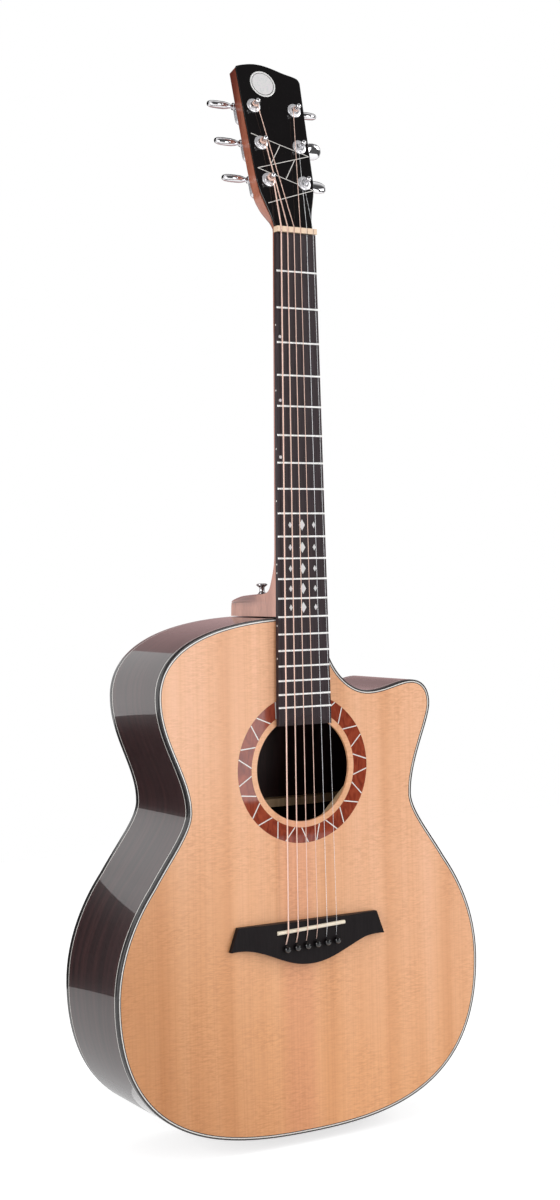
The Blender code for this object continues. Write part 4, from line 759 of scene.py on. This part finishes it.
# Headstock's back: height on its face, reach beside it, depth, squareness
THROAT = (
    (0.0012, -0.0005, 0.014, 1.9), (0.008, -0.0004, 0.0155, 2.2), (0.015, 0.0002, 0.0172, 2.9),
    (0.023, 0.0008, 0.0183, 4.0), (0.03, 0.001, 0.0175, 5.5), (0.035, 0.0007, 0.0154, 9.0),
    (0.0392, 0.0, 0.0131, 16.0), (0.047, 0.0, 0.013, 26.0), (0.14, 0.0, 0.013, 26.0),
)
# Face: height, half width on the bass and on the treble side
FACE_SIDES = (
    (0.0012, 0.0214, 0.0203), (0.011, 0.0228, 0.0212), (0.023, 0.0262, 0.024),
    (0.037, 0.0302, 0.0281), (0.05, 0.0319, 0.0304), (0.1658, 0.0348, 0.0348),
)
# Top edge of the face
CREST = (
    (-0.0348, 0.1658), (-0.0338, 0.1674), (-0.024, 0.1704), (-0.014, 0.172), (-0.006, 0.1718),
    (0.005, 0.1696), (0.018, 0.1658), (0.0293, 0.1632), (0.0333, 0.161), (0.0348, 0.1575),
)


def smooth(stations, count):
    """Points on a smooth curve through stations, which are tuples led by the place along it."""
    result = []
    last = len(stations) - 1
    for index in range(last):
        before = stations[max(index - 1, 0)]
        a, b = stations[index], stations[index + 1]
        after = stations[min(index + 2, last)]
        span = b[0] - a[0]
        for step in range(count):
            t = step / count
            spot = [a[0] + span * t]
            for axis in range(1, len(a)):
                slope = (b[axis] - a[axis]) / span
                start = limited((b[axis] - before[axis]) / max(b[0] - before[0], 1e-9), slope)
                end = limited((after[axis] - a[axis]) / max(after[0] - a[0], 1e-9), slope)
                cubic = (2 * t**3 - 3 * t**2 + 1) * a[axis] + (3 * t**2 - 2 * t**3) * b[axis]
                cubic += (t**3 - 2 * t**2 + t) * span * start + (t**3 - t**2) * span * end
                spot.append(cubic)
            result.append(tuple(spot))
    return result + [stations[-1]]


def limited(slope, chord):
    """Keep a curve's slope from overshooting the chord beside it."""
    if slope * chord <= 0:
        return 0.0
    return copysign(min(abs(slope), 3 * abs(chord)), chord)


def section(bass, treble, depth, straight, squareness, count=48):
    """Half-round section of the neck, narrowing along its straight cheeks."""
    points = [(treble, 0.0)]
    narrowing = 1 - HEEL_TAPER * straight / HEEL[0][1]
    for step in range(count + 1):
        turn = pi * step / count
        half = (treble if step <= count / 2 else bass) * narrowing
        across = copysign(abs(cos(turn)) ** (2 / squareness), cos(turn))
        rise = abs(sin(turn)) ** (2 / squareness)
        points.append((half * across, straight + (depth - straight) * rise))
    return points + [(-bass, 0.0)]


def headstock_matrix():
    """From the headstock's own face, with its height up and its front outward."""
    tilt = radians(HEADSTOCK_TILT_DEG)
    up = (0.0, sin(tilt), cos(tilt))
    out = (0.0, -cos(tilt), sin(tilt))
    rows = [((1, 0, 0)[row], up[row], out[row], (0, HEADSTOCK_SETBACK, NUT_LENGTH)[row]) for row in range(3)]
    return Matrix((*rows, (0, 0, 0, 1)))


def face_halves(height):
    return [between([(row[0], row[column]) for row in FACE_SIDES], height) for column in (1, 2)]


def neck_ring(z, depth, straight, squareness):
    half = board_half(z) - NECK_INSET
    return [(x, SOUNDBOARD_Y + y, z) for x, y in section(half, half, depth, straight, squareness)]


def add_neck():
    rings = [neck_ring(JOINT_Z + height, *form) for height, *form in smooth(HEEL, 5)]
    low, thick, straight, squareness = HEEL[-1]
    for step in range(1, 13):
        z = JOINT_Z + low + (NECK_TOP - JOINT_Z - low) * step / 12
        depth = thick + (NECK_DEPTH_AT_NUT - thick) * step / 12
        rings.append(neck_ring(z, depth, straight, squareness))
    head = headstock_matrix()
    for height, reach, depth, squareness in smooth(THROAT, 6):
        bass, treble = face_halves(height)
        top_share = max(0.0, (height - 0.12) / 0.02)
        ring = []
        for x, y in section(bass + reach, treble + reach, depth, straight, squareness):
            lift = (between(CREST, x) - 0.0004 - 0.14) * top_share
            ring.append(head @ Vector((x, height + lift, -GAP - OVERLAY_THICKNESS - y)))
        rings.append(ring)
    neck = loft("neck", rings, sharp_deg=45.0)
    add("neck_dressed", neck, "mahogany", covers=("neck",))

    smooth_sides = smooth(FACE_SIDES[:-1], 6)
    treble = [(half, height) for height, _, half in smooth_sides]
    bass = [(-half, height) for height, half, _ in smooth_sides]
    outline = treble + smooth(CREST, 4)[::-1] + bass[::-1]
    rings = [[(x, y, n) for x, y in outline] for n in (-OVERLAY_THICKNESS, 0.0)]
    overlay = loft("overlay", rings, sharp_deg=30.0)
    covers = ("headstock_overlay",)
    add("overlay_dressed", overlay, "lacquer", "guitar", head, covers, 0.0008, 3)
    add_face_inlays(head)


def add_face_inlays(head):
    """A plain pearl disc in a thin ring, and fine ivory lines in an even zigzag below it."""
    centre = head @ Matrix.Translation((-0.0079, 0.151, 0.0))
    disc = turned("head_disc", ((0.0, -0.0003), (0.0114, -0.0003), (0.0114, 0.00008), (0.0, 0.0001)), 64)
    rim_section = ((0.012, -0.0003), (0.0136, -0.0003), (0.0136, 0.00006))
    rim_section += ((0.0128, 0.00018), (0.012, 0.00006))
    rim = turned("head_disc_rim", rim_section, 64, closed=True)
    corners = [(-0.03, 0.096), (0.03, 0.078), (-0.029, 0.06), (0.0285, 0.042), (-0.024, 0.024)]
    runs = list(zip(corners, corners[1:]))
    runs += [((0.0, 0.087), (-0.0145, 0.0643)), ((0.0, 0.051), (0.014, 0.0735))]
    lines = []
    for start, end in runs:
        line = thin_line(Vector(start), Vector(end), INLAY_LINE_WIDTH)
        lines.append(loft("line", [[(x, y, n) for x, y in line] for n in (-0.0003, 0.00004)]))
    zigzag = joined("head_lines", lines)
    for mesh, look, matrix in ((disc, "pearl", centre), (rim, "fret", centre), (zigzag, "ivory", head)):
        add(mesh.name, mesh, look, matrix=matrix)


def board_face(share):
    """The fingerboard's crowned face at a share of its half width."""
    return FRET_HEIGHT + BOARD_CROWN * share**2


def add_fingerboard():
    end = SOUNDHOLE_Z + SOUNDHOLE_RADIUS
    shares = [step / 5 - 1 for step in range(11)]
    rings = []
    for step in range(41):
        z = -GAP + (end + 0.014 + GAP) * step / 40
        rings.append([(x, y, z) for x, y in board_section(board_half(z), shares)])
    # The last ring follows the edge of the soundhole.
    last = board_section(board_half(end), shares)
    rings.append([(x, y, SOUNDHOLE_Z + sqrt(SOUNDHOLE_RADIUS**2 - x**2)) for x, y in last])
    board = loft("fingerboard", rings, sharp_deg=30.0)
    add("fingerboard_dressed", board, "board", covers=("fingerboard",), bevel=0.0004)

    seat = 0.0003
    crown = ((-1.0, 0.25), (-0.985, 0.8), (-0.965, 1.0), (0.965, 1.0), (0.985, 0.8), (1.0, 0.25))
    wires = []
    for number in range(1, FRET_COUNT + 1):
        rings = []
        for share, height in crown:
            ring = []
            for turn in (pi * step / 8 for step in range(9)):
                y = board_face(share) + seat - (FRET_HEIGHT + seat) * height * sin(turn)
                z = fret_z(number) + FRET_WIDTH / 2 * cos(turn)
                ring.append((share * board_half(fret_z(number)), y, z))
            rings.append(ring)
        wires.append(loft("fret", rings, sharp_deg=50.0))
    add("frets", joined("frets", wires), "fret")

    inlays = []
    for number in (3, 5, 7):
        z = fret_z(number) + 0.0052
        x = 0.0032 - board_half(z)
        dot = turned("dot", ((0.0015, -0.0003), (0.0015, 0.00004), (0.0, 0.00006)), 24)
        spot = Matrix.Translation((x, board_face(x / board_half(z)), z))
        inlays.append(moved(dot, spot @ Matrix.Rotation(pi / 2, 4, "X")))
    for number in range(10, 15):
        z = fret_middle(number)
        for share in (-0.5, 0.0, 0.5):
            x = share * board_half(z)
            reach = 0.003 if share else 0.0052
            corners = [(x, z - reach), (x + reach * 0.62, z), (x, z + reach), (x - reach * 0.62, z)]
            y = board_face(share)
            rings = [[(a, y + rise, b) for a, b in corners] for rise in (0.0003, -0.00005)]
            inlays.append(loft("diamond", rings))
    add("board_inlays", joined("board_inlays", inlays), "pearl")

    dots = []
    for number in (3, 5, 7, 9, 12, 15, 17):
        z = fret_middle(number)
        for shift in (-0.004, 0.004) if number == 12 else (0.0,):
            dot = turned("dot", ((0.0008, 0.0), (0.0008, 0.0003), (0.0, 0.0003)), 16)
            spot = Matrix.Translation((0.00015 - board_half(z), 0.0038, z + shift))
            dots.append(moved(dot, spot @ Matrix.Rotation(-pi / 2, 4, "Y")))
    add("side_dots", joined("side_dots", dots), "ivory")


def board_section(half, shares):
    """The fingerboard's section, from its glued face up and over the crown."""
    crown = [(half * share, board_face(share)) for share in shares]
    return [(-half, BOARD_GLUE_Y)] + crown + [(half, BOARD_GLUE_Y)]


def fret_middle(number):
    return (fret_z(number) + fret_z(number - 1)) / 2


# Tuners


def tuner_place(number):
    """The side a tuner is on, and its place on the headstock's face."""
    side = 1 if number <= 3 else -1
    across, height = TUNER_PLACES[number - 1 if number <= 3 else 6 - number]
    return side, side * across, height


def housing_mesh():
    """A rounded cast housing, a little domed behind."""
    rings = []
    profile = ((0.0, 0.96), (0.0006, 1.0), (0.0075, 1.0), (0.0091, 0.95), (0.01, 0.84), (0.0105, 0.62))
    for depth, share in profile:
        ring = []
        for cosine, sine in circle(1.0, 40):
            x = copysign(abs(cosine) ** 0.42, cosine) * HOUSING_HALF_WIDTH * share
            y = copysign(abs(sine) ** 0.42, sine) * HOUSING_HALF_HEIGHT * share
            ring.append((x, 0.003 + y, -0.0156 - depth))
        rings.append(ring)
    return loft("housing", rings, sharp_deg=50.0)


def key_mesh(side, turn_deg):
    stations = (
        (0.0088, 0.0019, 0.0019), (0.0088, 0.0034, 0.0034), (0.0096, 0.0036, 0.0036),
        (0.0104, 0.0034, 0.0034), (0.0108, 0.0023, 0.0023), (0.0124, 0.0021, 0.0021),
        (0.014, 0.0024, 0.0028), (0.0165, 0.0031, 0.0046), (0.02, 0.0036, 0.0066),
        (0.024, 0.0037, 0.0079), (0.0275, 0.0037, 0.0081), (0.031, 0.0036, 0.0077),
        (0.034, 0.0033, 0.0065), (0.036, 0.0026, 0.0045), (0.037, 0.0014, 0.0022),
        (0.0372, 0.0002, 0.0003),
    )
    turn = Matrix.Rotation(radians(turn_deg), 2)
    rings = []
    for along, thick, wide in stations:
        ring = []
        for height, depth in circle(1.0, 32):
            spot = turn @ Vector((height * thick, depth * wide))
            ring.append((side * along, spot.x, spot.y))
        rings.append(ring)
    return loft("key", rings, sharp_deg=40.0)


def add_tuners():
    post = [(0.002, -0.0245), (0.002, -0.022), (0.003, -0.022), (0.003, 0.0024), (0.0027, 0.0027)]
    post += [(0.002, 0.0028), (POST_WAIST_RADIUS, 0.0078)] + arc_rings(0.0, 0.0098, 0.0024, -37, 84, 14)
    bushing = [(0.0034, -0.0153), (0.0034, 0.0022), (0.0037, 0.0026), (0.0043, 0.0026), (0.0048, 0.0022)]
    bushing += [(0.0049, 0.0016), (0.005, 0.0015), (0.0063, 0.0014), (0.0069, 0.0011), (0.0071, 0.0007)]
    bushing += [(0.0071, 0.0003), (0.0047, 0.0002), (0.0047, -0.0153)]
    for number in range(1, 7):
        side, x, height = tuner_place(number)
        place = headstock_matrix() @ Matrix.Translation((x, height, 0.0))
        worm = place @ Matrix.Translation((0.0, *WORM_AXIS))
        key = key_mesh(side, KEY_TURNS_DEG[number - 1])
        pieces = (
            ("bushing", turned("bushing", bushing, 48, closed=True), "housing", "guitar", place),
            ("housing", housing_mesh(), "housing", "guitar", place),
            ("post", turned("post", post, 32), "chrome", f"post_{number}", place),
            ("key", key, "chrome", f"key_{number}", worm),
        )
        for piece, mesh, look, body, matrix in pieces:
            name = f"{piece}_dressed_{number}"
            add(name, mesh, look, body, matrix, (f"tuner_{piece}_{number}",))


# Strings


def tube(name, points, radius, look, body, covers=()):
    curve = bpy.data.curves.new(name, "CURVE")
    curve.dimensions = "3D"
    curve.bevel_depth = radius
    curve.bevel_resolution = 4
    curve.use_fill_caps = True
    spline = curve.splines.new("POLY")
    spline.points.add(len(points) - 1)
    for place, point in zip(spline.points, points):
        place.co = (*point, 1.0)
    return add(name, curve, look, body, covers=covers)


def add_strings():
    """Each string runs from its hole over saddle and nut, and its coil rides on the post."""
    head = headstock_matrix()
    for number in range(1, 7):
        radius = STRING_DIAMETERS[number - 1] / 2
        side, post_x, post_height = tuner_place(number)
        pin_x = string_x(number, PIN_SPREAD)
        hole_z = slant(pin_x, PIN_ROW) + STRING_HOLE_SHIFT
        saddle_x = string_x(number, SADDLE_SPREAD)
        saddle_z = slant(saddle_x, SADDLE_ROW)
        nut_x = string_x(number, NUT_SPREAD)
        over_saddle = -0.0044 - radius
        over_nut = -0.0004 - radius
        points = [
            (pin_x, BRIDGE_TOP + 0.002, hole_z),
            (pin_x, BRIDGE_TOP + 0.0005, hole_z),
            (pin_x, BRIDGE_TOP - 0.0006, hole_z + 0.0004),
            (saddle_x, over_saddle + 0.0003, saddle_z - 0.0014),
            (saddle_x, over_saddle, saddle_z),
            (nut_x, over_nut, 0.0),
            (nut_x, over_nut, NUT_LENGTH - 0.001),
            (nut_x, over_nut + 0.0001, NUT_LENGTH + 0.0004),
        ]
        start = head.inverted() @ Vector(points[-1])
        coil_radius = POST_WAIST_RADIUS + GAP + radius
        to_post = Vector((post_x - start.x, post_height - start.y))
        run = sqrt(to_post.length_squared - coil_radius**2)
        heading = atan2(to_post.y, to_post.x) + side * atan2(coil_radius, run)
        first = heading + side * pi / 2
        low = 0.0027 + GAP + radius
        turns = 3.0 if number <= 2 else 2.5
        pitch = 2 * radius + 0.00012
        coil = []
        for step in range(round(turns * 32) + 1):
            share = step / 32
            angle = first - side * 2 * pi * share
            spot = around((post_x, post_height), coil_radius, angle)
            coil.append(head @ Vector((*spot, low + pitch * share)))
        look = "wound" if number > 2 else "steel"
        tube(f"string_run_{number}", points + [coil[0]], radius, look, "guitar", (f"string_{number}",))
        tube(f"string_winding_{number}", coil, radius, look, f"post_{number}")


def add_strap_fittings():
    """Strap button on the heel and end pin on the tail, each on a thin felt washer."""
    top = Vector((SOUNDBOARD_Y + 0.067, JOINT_Z + 0.0212))
    base = Vector((SOUNDBOARD_Y + 0.08, JOINT_Z + 0.0206))
    foot = (top + base) / 2
    lean = atan2(top.y - base.y, base.x - top.x)
    heel = Matrix.Translation((0, foot.x, foot.y)) @ Matrix.Rotation(-lean, 4, "X")
    tail = Matrix.Translation((0, 0.06, JOINT_Z - BODY_LENGTH)) @ Matrix.Rotation(pi, 4, "X")
    button = [(0.0015, -0.005), (0.0041, 0.0003), (0.0041, 0.0011), (0.003, 0.0021), (0.0026, 0.0034)]
    button += [(0.0026, 0.0058), (0.0031, 0.0072), (0.0049, 0.0083), (0.0056, 0.009), (0.0056, 0.0096)]
    button += [(0.005, 0.0102), (0.0036, 0.0106), (0.0002, 0.0106)]
    pin = [(0.0036, -0.01), (0.0058, 0.0003), (0.0059, 0.0012), (0.0044, 0.0026), (0.0034, 0.0038)]
    pin += [(0.0034, 0.006), (0.004, 0.0073), (0.0054, 0.0083), (0.0058, 0.009), (0.0058, 0.0097)]
    pin += [(0.0052, 0.0105), (0.0036, 0.0108), (0.0002, 0.0108)]
    for node, profile, matrix in (("strap_button", button, heel), ("end_pin", pin, tail)):
        mesh = turned(f"{node}_turned", profile, 40)
        # The strap button and end pin get the darker copy of the chrome, which is painted shade.
        add(f"{node}_dressed", mesh, "dark_chrome", matrix=matrix, covers=(node,))
    for name, matrix, radius in (("strap_felt", heel, 0.005), ("end_felt", tail, 0.0068)):
        profile = ((radius, -0.0002), (radius, 0.0004), (radius - 0.0004, 0.0007), (0.0002, 0.0007))
        add(name, turned(name, profile, 32), "felt", matrix=matrix)


def dress_inner_nodes():
    """The pieces inside the body, and the nut and saddle, keep their solids and get their finish."""
    finishes = {
        "cedar": ("neck_block", "tail_block"),
        "maple": ("bridge_plate",),
        "brace": ("x_brace_1", "x_brace_2", "transverse_brace", "tone_bar", "back_brace_1", "back_brace_2"),
        "bone": ("nut",),
        "pale_bone": ("saddle",),
        "rod": ("truss_rod",),
    }
    for look, nodes in finishes.items():
        for node in nodes:
            item = bpy.data.objects[node]
            for slot in item.material_slots:
                slot.link = "OBJECT"
                slot.material = LOOKS[look]
    for node, width in (("nut", 0.0004), ("saddle", 0.0009)):
        soften(bpy.data.objects[node], width, 3, 50.0)


# Camera, light and surroundings


def stage_material(name, value, shown_strength=0.0, shown_color=(1.0, 1.0, 1.0)):
    """Matt grey that can glow, for rays that show the surroundings: seen, mirrored or through glass."""
    s = Shader(name, roughness=0.9, specular=0.1)
    s.put("Base Color", opaque(value))
    s.put("Emission Color", opaque(shown_color))
    path = s.new("LightPath").outputs
    shown = s.math("MAXIMUM", path["Is Camera Ray"], path["Is Glossy Ray"])
    shown = s.math("MAXIMUM", shown, path["Is Transmission Ray"])
    s.put("Emission Strength", s.times(shown, shown_strength))
    return s.material


def add_camera():
    data = bpy.data.cameras.new("camera")
    data.lens = 54.25
    data.sensor_fit = "VERTICAL"
    data.sensor_height = 36
    data.shift_x = -0.02554
    data.shift_y = -0.01934
    camera = new_object("camera", data)
    camera.location = (-0.85908, -1.48515, -0.35303)
    camera.rotation_euler = (radians(90.05496), radians(1.10569), radians(-30.59427))
    bpy.context.scene.camera = camera


def add_panel(name, centre, toward, width, height, power):
    """A soft light panel that faces a point."""
    light = bpy.data.lights.new(name, "AREA")
    light.shape = "RECTANGLE"
    light.size = width
    light.size_y = height
    light.energy = power
    item = new_object(name, light)
    item.location = centre
    direction = Vector(toward) - Vector(centre)
    item.rotation_euler = direction.to_track_quat("-Z", "Y").to_euler()
    item.visible_camera = False


def add_world():
    """White all round, and for mirrored rays dimmer on the side that the camera stands on."""
    world = bpy.data.worlds.new("world")
    bpy.context.scene.world = world
    world.use_nodes = True
    nodes = Nodes(world.node_tree)
    background = nodes.tree.nodes["Background"].inputs
    background["Color"].default_value = opaque(1.0)
    path = nodes.new("LightPath").outputs
    forward = nodes.axes(nodes.new("TexCoord").outputs["Generated"])["Y"]
    limits = {"From_Min": -0.2, "From_Max": 0.3, "To_Min": 0.1, "To_Max": 1.0}
    depth = nodes.node("MapRange", {"interpolation_type": "SMOOTHSTEP"}, Value=forward, **limits)
    straight = nodes.math("MAXIMUM", path["Is Camera Ray"], path["Is Transmission Ray"])
    shown = nodes.math("MAXIMUM", straight, nodes.times(path["Is Glossy Ray"], depth))
    strength = nodes.math("MAXIMUM", shown, nodes.times(path["Is Diffuse Ray"], 0.42))
    nodes.feed(background["Strength"], strength)


def add_stage(name, corners, material):
    mesh = bpy.data.meshes.new(name)
    mesh.from_pydata(corners, [], [(0, 1, 2, 3)])
    mesh.materials.append(material)
    item = new_object(name, mesh)
    return item


def upright(left, right, y, low, high):
    return ((left, y, low), (right, y, low), (right, y, high), (left, y, high))


def level_sheet(left, right, near, far, z):
    return ((left, near, z), (right, near, z), (right, far, z), (left, far, z))


def add_studio():
    """A pale floor, three lamps, and cards that only mirrored rays see: they make the bands on the gloss."""
    bpy.context.scene.view_settings.view_transform = "Standard"
    add_world()
    floor = stage_material("floor", 0.72, 0.66)
    add_stage("floor", level_sheet(-FLOOR_REACH, FLOOR_REACH, -FLOOR_REACH, FLOOR_REACH, FLOOR_LEVEL), floor)
    dark = stage_material("dark_card", 0.015)
    dim = stage_material("dim_card", 0.015, 0.56, (1.0, 0.66, 0.66))
    low = stage_material("low_card", 0.015, 0.62)
    cards = (
        ("left_card", dark, upright(-0.46, -0.12, 0.341, -0.791, -0.548)),
        ("rear_card", dim, upright(-0.1, 1.0, 0.68, -0.5, -0.02)),
        ("upper_card", dark, upright(-0.9, 1.0, 0.68, -0.02, 0.9)),
        ("low_card", low, level_sheet(-1.2, 0.1, 0.14, 1.2, FLOOR_LEVEL + 0.001)),
    )
    for name, material, corners in cards:
        card = add_stage(name, corners, material)
        card.visible_camera = False
        card.visible_diffuse = False
        card.visible_shadow = False

    add_panel("key", (2.1, -1.5, 1.1), (0.05, 0.0, -0.3), 1.2, 1.2, 25.0)
    add_panel("front", (0.67, -2.1, -0.05), (0.67, 0.0, -0.05), 0.9, 1.6, 18.0)
    add_panel("fill", (-2.3, -0.45, 0.1), (0.0, 0.0, -0.2), 1.2, 1.4, 34.0)


def wood_looks():
    bridge = ((0.007, 0.005, 0.0055), (0.012, 0.009, 0.01), 0.42, (900.0, 900.0, 60.0), 0.1)
    board = ((0.016, 0.009, 0.011), (0.039, 0.023, 0.028), 0.46, (900.0, 900.0, 40.0), 0.24)
    felt = ((0.01, 0.01, 0.011), (0.03, 0.03, 0.032), 0.9, (2500.0, 2500.0, 2500.0))
    return {
        "spruce": spruce(),
        "brace": wood("brace_spruce", (0.56, 0.36, 0.2), (0.74, 0.52, 0.32)),
        "side": rosewood("side_rosewood", bent=True),
        "back": rosewood("back_rosewood", bent=False),
        "mahogany": mahogany(),
        "cedar": wood("cedar", (0.3, 0.15, 0.08), (0.46, 0.26, 0.15)),
        "maple": wood("maple", (0.52, 0.36, 0.22), (0.66, 0.5, 0.33)),
        "bridge": wood("bridge_wood", *bridge),
        "board": wood("board_wood", *board),
        "felt": wood("felt", *felt),
        "burl": burl(),
    }


def trim_looks():
    return {
        "back_strip": gloss("back_strip", (0.055, 0.03, 0.025)),
        "lacquer": gloss("headstock_lacquer", (0.005, 0.004, 0.0044), 0.07, coat=0.8, specular=0.12),
        "binding": gloss("binding", (0.01, 0.008, 0.009), 0.35, coat=0.75, specular=0.35),
        "ivory": gloss("ivory_trim", (0.82, 0.79, 0.75), 0.22),
        "bone": gloss("bone", (0.84, 0.62, 0.44), 0.3, 0.06),
        "pale_bone": gloss("pale_bone", (0.9, 0.8, 0.64), 0.28, 0.06),
        "pin": gloss("pin", (0.004, 0.004, 0.005), 0.04, coat=0.3),
        "pearl": pearl(),
        "chrome": metal("chrome", (0.74, 0.73, 0.75), 0.07),
        # A darker copy of the chrome: painted shade for the dark surroundings that the strap button and end
        # pin mirror.
        "dark_chrome": metal("dark_chrome", (0.4, 0.38, 0.39), 0.06),
        "housing": metal("satin_chrome", (0.86, 0.85, 0.88), 0.2, 0.55),
        "fret": metal("fret_wire", (0.96, 0.95, 0.94), 0.34, 0.4),
        "steel": metal("plain_steel", (0.88, 0.89, 0.92), 0.3, 0.5),
        "rod": metal("rod_steel", (0.5, 0.5, 0.52), 0.35),
        "wound": wound(),
    }


def build():
    LOOKS.update(wood_looks())
    LOOKS.update(trim_looks())
    add_camera()
    add_studio()
    add_body()
    add_rosette()
    add_bridge()
    add_neck()
    add_fingerboard()
    add_tuners()
    add_strings()
    add_strap_fittings()
    dress_inner_nodes()


build()
